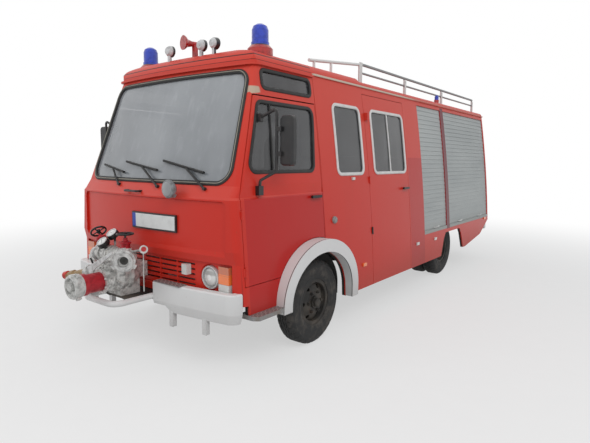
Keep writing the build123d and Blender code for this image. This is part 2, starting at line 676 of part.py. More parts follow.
def signal_lamps():
    y = front_y(sum(INDICATOR_X) / 2, 735)
    lamps = pair(block(INDICATOR_X, (y - 6, y + 50), INDICATOR_Z))
    y = front_y(sum(SMALL_LAMP_X) / 2, 774)
    small = block(SMALL_LAMP_X, (y - 22, y + 60), SMALL_LAMP_Z) - cab_hull(22.0 - SEAT)
    lamps += pair(small)
    y, z = STEP_LAMP
    box = block((800, side_x(z) + 16), (y - 22, y + 22), (z - 13, z + 13)) - body_prism(-SEAT, y - 200, y + 200)
    lamps += pair(box.solids().sort_by(Axis.X)[-1])
    for y, z in ((1742.0, 575.0), (5822.0, 678.0), (3066.0, 611.0), (3636.0, 602.0)):
        marker = block((900, side_x(z) + 14), (y - 32, y + 32), (z - 17, z + 17)) - body_prism(0, 1000, 6100, low=200)
        lamps += pair(marker.solids().sort_by(Axis.X)[-1])
    rear = block((730, 850), (BODY_REAR + SEAT, BODY_REAR + 55), (700, 960))
    lamps += pair(rear)
    return lamps


BUMPER_HALF = 1050.0
BUMPER_CORNER = -105.0
BUMPER_LEVELS = ((424.0, 20.0), (500.0, 0.0), (640.0, 0.0), (650.0, 9.0))  # height, inset
BUMPER_IN_X = 233.0
BUMPER_T = 6.0
BUMPER_CORNER_R = 95.0
BUMPER_POSTS = (417.0, 759.0)
BUMPER_END = ((200.0, 400.0), (200.0, 472.0), (362.0, 472.0), (425.0, 424.0), (425.0, 400.0))
STEP_T = 32.0


def bumper_loft(levels, rear):
    """Ruled loft of the bumper's plan through (height, inset) levels."""
    wires = [plan_outline(z, BUMPER_HALF, BUMPER_CORNER, inset, rear, BUMPER_CORNER_R) for z, inset in levels]
    return Solid.make_loft(wires, ruled=True)


def bumper_y(x):
    return BUMPER_CORNER + math.sqrt(BOW_R**2 - BUMPER_HALF**2) - math.sqrt(BOW_R**2 - x * x)


def front_bumper():
    """Two halves: a folded skin with a leaning lower lip, its inner end stepped up, posts and a bracket."""
    low, fold, shoulder, top = [z for z, inset in BUMPER_LEVELS]
    lip = BUMPER_LEVELS[0][1]
    outer = bumper_loft(BUMPER_LEVELS, -18)
    inner = bumper_loft(((low - 8, lip + BUMPER_T + 2), (fold, BUMPER_T), (top - BUMPER_T, BUMPER_T)), 40)
    behind = plan_prism(BUMPER_HALF, BUMPER_CORNER, 62, 60, low - 5, top + 5, BUMPER_CORNER_R)
    left_half = (outer - inner - behind) & block((BUMPER_IN_X, 1200), (-400, 0), (low - 10, top + 10))
    left_half -= prism([(x, -400, z) for x, z in BUMPER_END], (0, 400, 0))
    for x in BUMPER_POSTS:
        y = bumper_y(x) + lip - 3
        left_half += block((x - 20, x + 20), (y, y + 40), (310, fold - 20))
    y = bumper_y(RAIL_X) + BUMPER_T - 2
    left_half += block((RAIL_X - 28, RAIL_X + 28), (y, RAIL_Y[0] - SEAT), (fold + 8, fold + 46))
    return pair((left_half - cab_hull(-SEAT)).solids().sort_by(SortBy.VOLUME)[-1])


def treads():
    """Chequer plates: on the bumper's inner ends, and the folded steps below the cab doors."""
    y = front_y(390, 600) - 86
    top = BUMPER_LEVELS[-1][0]
    plate = block((BUMPER_IN_X + 1, 546), (y, y + 80), (top + SEAT, top + 5))
    outline = [(975, 25), (1110, 25), (1150, 58), (1150, 342), (975, 342)]
    z = STEP_TOP_Z - SEAT
    step = prism([(x, yy, z - STEP_T) for x, yy in outline], (0, 0, STEP_T))
    room = [(960, 37), (1105, 37), (1138, 64), (1138, 348), (960, 348)]
    step -= prism([(x, yy, z - STEP_T - 5) for x, yy in room], (0, 0, STEP_T - 1))
    step -= arch(ARCH_OUT[0] + 1, ARCH_OUT[1], 950, 1200)
    return pair(plate) + pair(step)


def flares():
    ring = arch(*ARCH_OUT, 960, FLARE_X) - arch(*ARCH_IN, 900, FLARE_X + 10)
    ring -= block((900, 1200), (0, ARCH_Y), (0, FLARE_LEG_Z[0]))
    ring -= block((900, 1200), (ARCH_Y, 2000), (0, FLARE_LEG_Z[1]))
    ring -= body_prism(-SEAT, 200, 1800, low=100)
    return pair(ring.solids().sort_by(Axis.X)[-1])


# Front pump

GUARD_R = 24.0
GUARD_Z = 526.0
PUMP_X = 0.0
VOLUTE_Z = 720.0
VOLUTE_R = 150.0
VOLUTE_RIBS = 8
MANIFOLD = (-250.0, 150.0, -330.0, 850.0, 62.0)  # right end, left end, station, height, radius
STUB_Z = 672.0
NECK_Y = -500.0
CAP_DEPTH = 90.0
CAP_LUGS = 3
LUG_R = 106.0
BRANCH = (108.0, -336.0, 845.0)
BRANCH_AXIS = (0.75, -0.66, 0.0)
BRANCH_LENGTH = 100.0
BONNETS = (  # foot of the axis, axis, height of the handwheel above the foot
    ((95.0, -330.0, 880.0), (0.0, 0.0, 1.0), 153.0),
    ((-200.0, -330.0, 895.0), (-0.7, 0.12, 0.7), 165.0),
)
HANDWHEEL_R = 60.0
GAUGES = (  # centre of each dial
    (-126.0, -300.0, 1007.0),
    (-128.0, -386.0, 948.0),
)
GAUGE_TILT = (0.0, 0.62, -0.78)
VALVE = ((-120.0, -370.0, 745.0), (-530.0, -80.0, -136.0))  # foot and axis of the right-hand delivery valve
BLEED = (288.0, -300.0, 927.0)


def about(foot, axis):
    """Frame at foot whose Z runs along axis."""
    return Plane(origin=foot, z_dir=Vector(*axis).normalized())


def ray_blocks(plane, count, start, x, y, z):
    """Copies of one block set at even turns round a frame's Z axis."""
    return [plane.location * Rot(0, 0, start + 360 * i / count) * block(x, y, z) for i in range(count)]


def manifold(grow=0.0):
    """Cross pipe with three bands; grow makes it larger, for cutting what seats on it."""
    x0, x1, y, z, r = MANIFOLD
    pipe = bar((x0, y, z), (x1, y, z), r + grow)
    for x in (x0 + 46, x0 + 150, x1 - 60):
        pipe += bar((x - grow, y, z), (x + 16 + grow, y, z), r + 9 + grow)
    return pipe


def pump_body():
    """Casting: ribbed volute, suction neck, manifold with a flanged branch, two valve bonnets, a foot."""
    y0, y1 = PUMP_Y
    profile = [(0, 0), (112, 0), (VOLUTE_R - 8, 26), (VOLUTE_R, 40), (VOLUTE_R, 62), (VOLUTE_R - 8, 66)]
    profile += [(VOLUTE_R - 8, 96), (VOLUTE_R, 100), (VOLUTE_R, 126), (128, 166), (92, 230), (0, 240)]
    body = turned(profile, (PUMP_X, y0, VOLUTE_Z), (0, 1, 0))
    for rib in ray_blocks(about((PUMP_X, y0, VOLUTE_Z), (0, 1, 0)), VOLUTE_RIBS, 22.5, (84, VOLUTE_R - 3), (-7, 7), (-8, 60)):
        body += rib
    neck = [(0, 0), (98, 0), (98, 15), (77, 15), (80, 36), (92, 84), (0, 84)]
    body += turned(neck, (PUMP_X, NECK_Y, STUB_Z), (0, 1, 0))
    body += manifold()
    scroll = turned([(0, 0), (70, 0), (58, 60), (58, 150), (0, 150)], (62, -330, VOLUTE_Z - 4), (0, 0, 1))
    branch = [(0, 0), (60, 0), (50, 44), (50, BRANCH_LENGTH - 18), (78, BRANCH_LENGTH - 16), (78, BRANCH_LENGTH), (0, BRANCH_LENGTH)]
    body += scroll + about(BRANCH, BRANCH_AXIS).location * turned(branch, (0, 0, 0), (0, 0, 1))
    for foot, axis, height in BONNETS:
        bonnet = [(0, 0), (48, 0), (48, 34), (36, 52), (36, 72), (44, 76), (44, 90), (20, 98), (15, 122), (0, 122)]
        body += about(foot, axis).location * turned(bonnet, (0, 0, 0), (0, 0, 1))
    body += block((-92, 92), (y0 + 36, y1 - 30), (PUMP_FOOT_Z, 660))
    body += block((-60, 60), (y1 - 10, -110), (VOLUTE_Z - 60, VOLUTE_Z + 60)) - cab_hull(0)
    return body


def outlet_ring():
    """Open hose coupling on the branch: a blind bore in a ring with three lugs."""
    profile = [(0, 0), (58, 0), (58, 8), (86, 12), (86, 32), (70, 38), (70, 62), (42, 62), (42, 12), (0, 12)]
    frame_ = about(BRANCH, BRANCH_AXIS)
    seat = Plane(origin=frame_.from_local_coords((0, 0, BRANCH_LENGTH + SEAT)), z_dir=frame_.z_dir)
    ring = seat.location * turned(profile, (0, 0, 0), (0, 0, 1))
    for lug in ray_blocks(seat, 3, 90, (76, 100), (-17, 17), (14, 30)):
        ring += lug
    return ring


def pump_pipes():
    """Suction stub, left outlet coupling, blank cap on the right, and the stepped right-hand delivery valve."""
    length = NECK_Y - SEAT - (PUMP_FRONT + CAP_DEPTH + SEAT)
    profile = [(0, 0), (74, 0), (74, length - 34), (84, length - 34), (84, length), (0, length)]
    stub = turned(profile, (PUMP_X, NECK_Y - SEAT, STUB_Z), (0, -1, 0))
    end = (MANIFOLD[0] - SEAT, MANIFOLD[2] - 15, MANIFOLD[3] - 14)
    cap = turned([(0, 0), (40, 0), (40, 24), (54, 28), (54, 56), (42, 66), (0, 69)], end, (-1, 0, 0))
    foot, axis = VALVE
    steps = [(0, 0), (38, 0), (38, 84), (30, 88), (30, 112), (45, 116), (45, 158), (30, 164), (30, 196), (47, 200)]
    steps += [(47, 236), (30, 244), (23, 284), (23, 400), (31, 404), (31, 446), (25, 450), (25, 486), (34, 490)]
    steps += [(34, 532), (24, 544), (0, 544)]
    valve = about(foot, axis).location * turned(steps, (0, 0, 0), (0, 0, 1))
    lever_foot = about(foot, axis).from_local_coords((0, 0, 137))
    lever = bar(lever_foot, lever_foot + Vector(-30, -20, 96), 8)
    valve = (valve + lever) - manifold(SEAT) - turned([(0, 0), (VOLUTE_R + 1, 0), (VOLUTE_R + 1, 200), (0, 200)],
                                                     (PUMP_X, PUMP_Y[0] - 10, VOLUTE_Z), (0, 1, 0))
    return [stub, outlet_ring(), cap, valve.solids().sort_by(SortBy.VOLUME)[-1]]


def suction_cap():
    """Blank cap of the suction stub: recessed face with a boss in the middle and lugs round its rim."""
    plane = about((PUMP_X, PUMP_FRONT + CAP_DEPTH, STUB_Z), (0, -1, 0))
    profile = [(0, 0), (84, 0), (84, 18), (94, 22), (94, 62), (86, 76), (70, 79), (60, 58), (33, 53), (30, 86)]
    cap = plane.location * turned(profile + [(24, CAP_DEPTH), (0, CAP_DEPTH)], (0, 0, 0), (0, 0, 1))
    for lug in ray_blocks(plane, CAP_LUGS, 30, (88, LUG_R), (-18, 18), (26, 56)):
        cap += lug
    return cap


def handwheel(foot, axis, height):
    """Rim with four spokes on a stem that stands on a bonnet's gland."""
    wheel = bar((0, 0, 122 + SEAT), (0, 0, height - 9), 8) + bar((0, 0, height - 10), (0, 0, height + 10), 17)
    section = [(HANDWHEEL_R + 8 * math.cos(math.pi * k / 4), height + 8 * math.sin(math.pi * k / 4)) for k in range(8)]
    wheel += turned(section, (0, 0, 0), (0, 0, 1))
    for turn in range(4):
        wheel += Rot(0, 0, 35 + 90 * turn) * bar((12, 0, height), (HANDWHEEL_R - 4, 0, height), 5)
    return about(foot, axis).location * wheel


def pump_controls():
    """Handwheels, two tilted gauges on stems, the bleed tap, and the long flat lever across the pump."""
    pieces = [handwheel(*bonnet) for bonnet in BONNETS]
    for x, y, z in GAUGES:
        dial = turned([(0, -14), (45, -14), (49, 0), (49, 24), (0, 28)], (x, y, z), GAUGE_TILT)
        stem_y = y + 20
        stem = bar((x, stem_y, MANIFOLD[3] + 20), (x, stem_y, z - 24), 9) - manifold(SEAT)
        pieces.append(dial + stem)
    x, y, z = BLEED
    tap = about(BLEED, (0.72, -0.6, 0.3)).location * turned([(0, -14), (18, -14), (32, 0), (32, 10), (0, 14)], (0, 0, 0), (0, 0, 1))
    pipe = bar((125, y + 4, 888), (x, y + 4, z), 10) - manifold(SEAT)
    lever = bar((x + 8, y - 10, z - 8), (x + 24, y - 26, 610), 4)
    pieces.append((tap + pipe + lever).solids().sort_by(SortBy.VOLUME)[-1])
    low, high = (-144.0, 740.0), (196.0, 922.0)
    across = Vector(-(high[1] - low[1]), high[0] - low[0]).normalized()
    blade = [(low[0] + across.X * 30, low[1] + across.Y * 30), (low[0] - across.X * 30, low[1] - across.Y * 30)]
    blade += [(high[0] - across.X * 9, high[1] - across.Y * 9), (high[0] + across.X * 9, high[1] + across.Y * 9)]
    paddle = prism([(px, -512, pz) for px, pz in blade], (0, 8, 0))
    pin = bar((10, -506, 820), (10, PUMP_Y[0] - SEAT, 820), 9)
    pieces.append((paddle + pin).solids().sort_by(SortBy.VOLUME)[-1])
    return pieces


def pump_guard():
    x = BUMPER_IN_X - GUARD_R - SEAT
    rear = CROSS_Y[0] - SEAT
    points = [(x, rear, GUARD_Z), (x, -520, GUARD_Z), (-x, -520, GUARD_Z), (-x, rear, GUARD_Z)]
    return tube(points, GUARD_R, 80)


# Fittings

MIRROR_X = (1128.0, 1250.0)
MIRROR_Y = (300.0, 345.0)
MIRROR_Z = (1570.0, 1935.0)
MIRROR_TUBE = (1112.0, 288.0)


def door_mirror():
    """Rounded mirror head clamped to one bent tube between two brackets on the door."""
    head = block(MIRROR_X, MIRROR_Y, MIRROR_Z)
    head = fillet(head.edges().filter_by(Axis.Y), 36)
    head = fillet(head.faces().sort_by(Axis.Y)[0].edges(), 14)
    x, y = MIRROR_TUBE
    low = Vector(side_x(1389) + 18, 212, 1389)
    high = Vector(side_x(1928) + 34, 284, 1928)
    arm = tube([low, (low.X + 3, 214, 1460), (x, y, 1530), (x, y, 1985), high], 11, 22)
    clamps = [block((x - 8, MIRROR_X[0] + 30), (y - 8, MIRROR_Y[0] + 10), (z, z + 34)) for z in (1640, 1820)]
    foot = block((low.X - 60, low.X + 16), (186, 238), (1350, 1420)) - cab_hull(-SEAT)
    foot2 = block((high.X - 60, high.X + 10), (268, 300), (1895, 1955)) - cab_hull(-SEAT)
    arm += clamps[0] + clamps[1] + foot.solids().sort_by(Axis.X)[-1] + foot2.solids().sort_by(Axis.X)[-1]
    return head + arm


WIPERS = (  # pivot x, blade heel (x, z), blade tip (x, z), joint of the arm (x, z)
    (-350.0, (-700.0, 1555.0), (-330.0, 1495.0), (-515.0, 1525.0)),
    (190.0, (-330.0, 1585.0), (130.0, 1520.0), (-70.0, 1548.0)),
    (700.0, (180.0, 1596.0), (650.0, 1510.0), (470.0, 1543.0)),
)
WIPER_OFF = 16.0


def wipers():
    blades = []
    for x, heel, tip, joint in WIPERS:
        y = front_y(x, 1400)
        boss = bar((x, y + 20, 1385), (x, y - 26, 1400), 13) - cab_hull(-SEAT)
        boss = boss.solids().sort_by(Axis.Y)[0]
        ends = [Vector(px, front_y(px, pz) - WIPER_OFF, pz) for px, pz in (heel, tip)]
        hold = Vector(joint[0], front_y(*joint) - WIPER_OFF - 9, joint[1])
        arm = bar((x, y - 22, 1399), hold, 5) + bar(hold, hold + Vector(0, 12, 0), 5)
        blades.append(boss + arm + bar(ends[0], ends[1], 6))
    return blades


def searchlight():
    x, z = 428.0, 1388.0
    y = front_y(x, 1360)
    bowl = turned([(0, -6), (62, 0), (70, 8), (70, 28), (40, 62), (0, 70)], (x, y - 92, z), (0, 1, 0))
    stalk = block((x - 14, x + 14), (y - 60, y + 20), (z - 66, z - 44)) - cab_hull(-SEAT)
    post = block((x - 14, x + 14), (y - 70, y - 48), (z - 66, z - 20))
    grab_y = front_y(-85, 1352)
    grab = tube([(-176, grab_y + 10, 1352), (-176, grab_y - 42, 1352), (5, grab_y - 42, 1352), (5, grab_y + 10, 1352)], 9, 18)
    grab -= cab_hull(-SEAT)
    return [bowl + stalk.solids().sort_by(Axis.Y)[0] + post, grab]


def beacons():
    """Two big beacons on rubber-ringed collars, and a small one beside the left roof rail."""
    lamps = []
    for x, y in ((715.0, 555.0), (-715.0, 555.0)):
        profile = [(0, 0), (104, 0), (104, 56), (78, 84), (0, 84)]
        collar = turned(profile, (x, y, BEACON_Z), (0, 0, 1)) - CAB_ROOF_SOLID
        profile = [(0, 0), (74, 0), (74, 24), (68, 28), (68, 120), (56, 150), (30, 166), (0, 170)]
        lamps.append(collar.solids().sort_by(Axis.Z)[-1] + turned(profile, (x, y, BEACON_Z + 84), (0, 0, 1)))
    x, y, z = SMALL_BEACON
    profile = [(0, -60), (34, -60), (34, 24), (28, 30), (28, 70), (16, 88), (0, 92)]
    small = turned(profile, (x, y, z), (0, 0, 1)) - body_prism(0, y - 200, y + 200, low=EAVE_Z)
    lamps.append(small.solids().sort_by(Axis.Z)[-1])
    return lamps


def roof_horns():
    pieces = []
    profile = [(0, 0), (60, 0), (56, 12), (32, 40), (22, 80), (22, 190), (0, 190)]
    bell = turned(profile, (75, 300, HORN_Z), (0.25, 1, 0))
    foot = block((95, 125), (380, 420), (CAB_CROWN - 82, HORN_Z - 10)) - CAB_ROOF_SOLID
    pieces.append(bell + foot.solids().sort_by(Axis.Z)[-1])
    for x in (-150.0, 255.0, 395.0):
        y = 330 + 0.00012 * x * x
        profile = [(0, 0), (30, 6), (44, 26), (48, 52), (48, 60), (0, 60)]
        dome = turned(profile, (x, y - 30, ROOF_LAMP_Z), (0, 1, 0))
        foot = block((x - 12, x + 12), (y - 10, y + 14), (CAB_CROWN - 92, ROOF_LAMP_Z - 30)) - CAB_ROOF_SOLID
        pieces.append(dome + foot.solids().sort_by(Axis.Z)[-1])
    return pieces


SMALL_BEACON = (765.0, 4230.0, 2440.0)
RAILS_X = 700.0
RAIL_TOP_Z = CAB_CROWN + 128.0
RAIL_LOW_Z = CAB_CROWN + 18.0
RAIL_MID_Z = CAB_CROWN + 38.0


def roof_rails():
    top = tube([(RAILS_X, 1250, RAIL_LOW_Z), (RAILS_X, 2250, RAIL_TOP_Z), (RAILS_X, 5960, RAIL_TOP_Z)], 15, 400)
    mid = bar((RAILS_X, 2175, RAIL_MID_Z), (RAILS_X, 5960, RAIL_MID_Z), 11)
    for y in (1330.0, 1620.0, 2175.0, 3300.0, 4550.0, 5960.0):
        z = RAIL_LOW_Z + (RAIL_TOP_Z - RAIL_LOW_Z) * min(1.0, (y - 1250) / 1000)
        post = bar((RAILS_X, y, BODY_SHOULDER[1] - 35), (RAILS_X, y, z), 13)
        roof = CAB_ROOF_SOLID if y < CAB_ROOF_REAR else body_prism(0, 1900, BODY_REAR + 5, low=EAVE_Z)
        post -= roof
        top += post.solids().sort_by(Axis.Z)[-1]
    return pair(top + mid)


# Running gear

def rail(side):
    """C-section side rail, open inwards."""
    web_x = RAIL_X + RAIL_T / 2
    low, high = RAIL_Z
    profile = [(web_x, low), (web_x, high), (web_x - RAIL_W, high), (web_x - RAIL_W, high - RAIL_T)]
    profile += [(web_x - RAIL_T, high - RAIL_T), (web_x - RAIL_T, low + RAIL_T)]
    profile += [(web_x - RAIL_W, low + RAIL_T), (web_x - RAIL_W, low)]
    return prism([(side * x, RAIL_Y[0], z) for x, z in profile], (0, RAIL_Y[1] - RAIL_Y[0], 0))


def pump_bracket():
    """Plate on two tapered ribs in front of the first crossmember; the pump's foot stands on it."""
    front, rear = PUMP_Y[0] + 30, CROSS_Y[0] - SEAT
    bracket = block((-165, 165), (front, rear), (PUMP_FOOT_Z - 12, PUMP_FOOT_Z - SEAT))
    outline = [(rear, RIB_Z), (rear, PUMP_FOOT_Z - 10), (front, PUMP_FOOT_Z - 10), (front + 30, RIB_Z)]
    for x in (-112, 100):
        bracket += side_prism(outline, x, x + 12)
    return bracket


def frame():
    """Ladder frame: two rails, crossmembers between their webs, outriggers under the body floor."""
    pieces = [rail(1), rail(-1), pump_bracket()]
    inner = RAIL_X - RAIL_T / 2 - SEAT
    low, high = RAIL_Z[0] + RAIL_T + SEAT, RAIL_Z[1] - RAIL_T - SEAT
    pieces += [block((-inner, inner), (y, y + 50), (low, high)) for y in CROSS_Y]
    outer = RAIL_X + RAIL_T / 2 + SEAT
    for y in OUTRIGGER_Y:
        top = FLOOR_Z - FLOOR_T - SEAT
        arm = prism([(outer, y, RAIL_Z[0] + 60), (outer, y, top), (980, y, top), (980, y, top - 25)], (0, 40, 0))
        pieces += pair(arm)
    for y in ENGINE_MOUNT_Y:
        mount = block((ENGINE_X + SEAT, inner), (y, y + 70), (low, low + 50))
        pieces += pair(mount)
    eye = turned([(30, -15), (62, -15), (62, 15), (30, 15)], (0, HITCH_REAR - 62, HITCH_Z), (0, 0, 1))
    rear = CROSS_Y[-1] + 50 + SEAT
    pieces.append(block((-70, 70), (rear, HITCH_REAR - 110), (HITCH_Z - 48, HITCH_Z + 48)) + eye)
    return pieces


def front_axle():
    beam_z = 300.0
    beam = block((-660, 660), (FRONT_AXLE_Y - 32, FRONT_AXLE_Y + 32), (beam_z - 32, beam_z + 32))
    for side in (-1, 1):
        x = side * KINGPIN_X
        boss = bar((x, FRONT_AXLE_Y, TYRE_R - 50), (x, FRONT_AXLE_Y, TYRE_R + 50), 42)
        outline = [(650, beam_z - 32), (650, beam_z + 32), (735, TYRE_R + 40), (KINGPIN_X, TYRE_R + 40)]
        outline += [(KINGPIN_X, TYRE_R - 38), (735, TYRE_R - 38)]
        arm = prism([(side * px, FRONT_AXLE_Y - 28, pz) for px, pz in outline], (0, 56, 0))
        beam += arm + boss
    for side in (-1, 1):
        x = side * KINGPIN_X
        beam -= bar((x, FRONT_AXLE_Y, 200), (x, FRONT_AXLE_Y, 600), 18)
        beam -= block((min(x, x + side * 60), max(x, x + side * 60)), (FRONT_AXLE_Y - 60, FRONT_AXLE_Y + 60), (200, 600)) - bar(
            (x, FRONT_AXLE_Y, 200), (x, FRONT_AXLE_Y, 600), 42)
        beam += block((side * RAIL_X - 35, side * RAIL_X + 35), (FRONT_AXLE_Y - 60, FRONT_AXLE_Y + 60), (beam_z + 20, beam_z + 60))
    return beam


def knuckle():
    """Left knuckle: fork and king pin round the axle's boss, stub axle, backing plate."""
    x, y, z = KINGPIN_X, FRONT_AXLE_Y, TYRE_R
    pin = bar((x, y, z - 72), (x, y, z + 72), 18 - RUNNING)
    fork = block((x - 36, x + 78), (y - 34, y + 34), (z + 50 + SEAT, z + 76)) + block((x - 36, x + 78), (y - 34, y + 34), (z - 76, z - 50 - SEAT))
    web = block((x + 50, x + 78), (y - 34, y + 34), (z - 76, z + 76))
    stub = bar((x + 60, y, z), (FRONT_WHEEL_X + 60, y, z), HUB_BORE - RUNNING)
    plate = bar((x + 78, y, z), (x + 84, y, z), 150)
    eye = bar((x, y + ARM_REACH, z - 76), (x, y + ARM_REACH, z - 56), 22)
    arm = block((x - 18, x + 18), (y + 33, y + ARM_REACH), (z - 76, z - 56)) + eye
    arm -= bar((x, y + ARM_REACH, z - 100), (x, y + ARM_REACH, z), BALL_R)
    return pin + fork + web + stub + plate + arm


def tie_rod():
    """Track rod behind the axle; its right-hand pin has extra play."""
    y, z = FRONT_AXLE_Y + ARM_REACH, TYRE_R - 100
    rod = bar((-KINGPIN_X - 20, y, z), (KINGPIN_X + 20, y, z), 16)
    left = bar((KINGPIN_X, y, z), (KINGPIN_X, y, TYRE_R - 50), BALL_R - RUNNING)
    right = bar((-KINGPIN_X, y, z), (-KINGPIN_X, y, TYRE_R - 50), BALL_R - SEAT)
    return rod + left + right


def make_tyre(x, y):
    h = TYRE_W / 2
    half = [(RIM_R + 2, h - 22), (RIM_R + 30, h - 6), (320, h), (358, h - 14), (TYRE_R, h - 38)]
    profile = [(r, -d) for r, d in half] + half[::-1]
    return turned(profile, (x, y, TYRE_R), (1, 0, 0))


def make_rim(x, y, dish, hub):
    """Steel rim; the disc stands at offset dish from the rim's middle, hub is (from, to) along the axle."""
    h = TYRE_W / 2
    r = RIM_R + 2 - SEAT
    barrel = [(r, -h + 22), (r - 30, -h + 20), (r - 34, -h + 26), (r - 10, -h + 34), (r - 26, -20), (r - 26, 20),
              (r - 10, h - 34), (r - 34, h - 26), (r - 30, h - 20), (r, h - 22)]
    rim = turned(barrel, (x, y, TYRE_R), (1, 0, 0))
    disc = turned([(HUB_BORE, dish), (110, dish), (175, dish * 0.45), (182, dish * 0.35), (182, dish * 0.35 - 9), (172, dish * 0.45 - 10),
                   (106, dish - 10), (HUB_BORE, dish - 10)], (x, y, TYRE_R), (1, 0, 0))
    holes = 6
    for i in range(holes):
        a = 2 * math.pi * i / holes
        cy, cz = y + 143 * math.cos(a), TYRE_R + 143 * math.sin(a)
        disc -= bar((x - 90, cy, cz), (x + 90, cy, cz), 19)
    hub_part = turned([(HUB_BORE, hub[0]), (75, hub[0]), (75, hub[1] - 30), (52, hub[1] - 22), (52, hub[1]), (HUB_BORE, hub[1])], (x, y, TYRE_R), (1, 0, 0))
    return rim + disc + hub_part


def front_rim(x, y):
    rim = make_rim(x, y, 62, (-40, 80))
    drum = turned([(HUB_BORE, -62), (145, -62), (145, -30), (75, -22), (HUB_BORE, -22)], (x, y, TYRE_R), (1, 0, 0))
    return rim + drum


def rear_rims(y):
    outer = make_rim(TWIN_OUT_X, y, -62, (-120, 10))
    inner = make_rim(TWIN_IN_X, y, 62, (-30, 95))
    return outer + inner


def rear_axle():
    y, z = REAR_AXLE_Y, TYRE_R
    pipe = bar((-590, y, z), (590, y, z), 55)
    bowl = turned([(0, -110), (90, -95), (150, -30), (150, 30), (90, 95), (0, 110)], (0, y, z), (0, 1, 0))
    stubs = bar((-TWIN_OUT_X, y, z), (TWIN_OUT_X, y, z), HUB_BORE - RUNNING)
    shaft = bar((0, y - 80, z), (0, 2100, 450), 38)
    gearbox = block((-150, 150), (1560, 2120), (400, 650))
    pads = block((RAIL_X - 35, RAIL_X + 35), (y - 60, y + 60), (z + 30, z + 62))
    return pipe + bowl + stubs + shaft + gearbox + pads + mirror(pads, about=Plane.YZ)


def leaf_spring(x, y, z, reach):
    """A curved leaf pack between its two hangers under the frame rail."""
    rise = RAIL_Z[0] - 45 - z
    low = ThreePointArc(Vector(0, y - reach, z + rise), Vector(0, y, z), Vector(0, y + reach, z + rise))
    high = ThreePointArc(Vector(0, y - reach, z + rise + 22), Vector(0, y, z + 40), Vector(0, y + reach, z + rise + 22))
    face = Face(Wire([low, Line(low @ 1, high @ 1), high, Line(high @ 0, low @ 0)]))
    pack = Solid.extrude(face.moved(Location((x - 32, 0, 0))), Vector(64, 0, 0))
    for end in (-1, 1):
        yy = y + end * reach
        pack += block((x - 36, x + 36), (yy - 30, yy + 30), (z + rise - 10, RAIL_Z[0] - SEAT))
    return pack


def leaf_springs():
    springs = []
    springs += pair(leaf_spring(RAIL_X, FRONT_AXLE_Y, 360 + SEAT, 520))
    springs += pair(leaf_spring(RAIL_X, REAR_AXLE_Y, TYRE_R + 62 + SEAT, 560))
    return springs


def engine():
    return block((-ENGINE_X, ENGINE_X), (330, 1150), (430, 1080))


FILLER = (1221.0, 1073.0)


def fuel_tank():
    """Tank on two hangers at the left rail, and the filler's cap on the body side above the wheel."""
    tank = block((RAIL_X + 60, 860), (2650, 3060), (370, 640))
    tank = fillet(tank.edges().filter_by(Axis.Y), 40)
    hangers = block((RAIL_X + 4 + SEAT, RAIL_X + 61), (2700, 2740), (520, 620)) + block((RAIL_X + 4 + SEAT, RAIL_X + 61), (2960, 3000), (520, 620))
    y, z = FILLER
    cap = turned([(0, 0), (33, 0), (33, 12), (25, 22), (0, 22)], (side_x(z) + SEAT, y, z), (1, 0, -side_slope(z)))
    return [tank + hangers, cap]


def rear_bumper():
    beam = block((-1000, 1000), (BODY_REAR + 20, BODY_REAR + 100), (470, 590))
    beam = fillet(beam.edges().filter_by(Axis.X), 16)
    beam -= block((-72, 72), (5900, 6200), (400, 700))
    arms = block((RAIL_X - 20, RAIL_X + RAIL_T / 2), (RAIL_Y[1] + SEAT, BODY_REAR + 21), (510, 580))
    return (beam + arms + mirror(arms, about=Plane.YZ)).solids()


# Interior

def seats():
    parts = []
    for side in (-1, 1):
        x = side * 600
        parts.append(block((x - 230, x + 230), (560, 1010), (DECK_Z + SEAT, 1200)) + block((x - 230, x + 230), (930, 1040), (1190, 1860)))
    bench = block((-880, 880), (2790, 3180), (FLOOR_Z + SEAT, 1130)) + block((-880, 880), (3080, BULKHEAD_Y - SEAT), (1120, 1700))
    parts.append(bench)
    return parts


def dashboard():
    inside = cab_hull(WALL + SEAT)
    board = inside & block((-1000, 1000), (-300, 200), (1180, 1390))
    for room in pair(cab_door_room()):
        board -= room
    return board


def steering_wheel():
    hub = Vector(560, 400, 1430)
    plane = Plane(origin=hub, z_dir=(0, 0.42, 0.9))
    rim = plane.location * Torus(215, 14)
    spokes = plane.location * Box(430, 30, 10)
    column = bar((560, 110, 670), hub, 20) - block((400, 700), (0, 300), (600, FLOOR_Z + SEAT))
    return rim + spokes + column


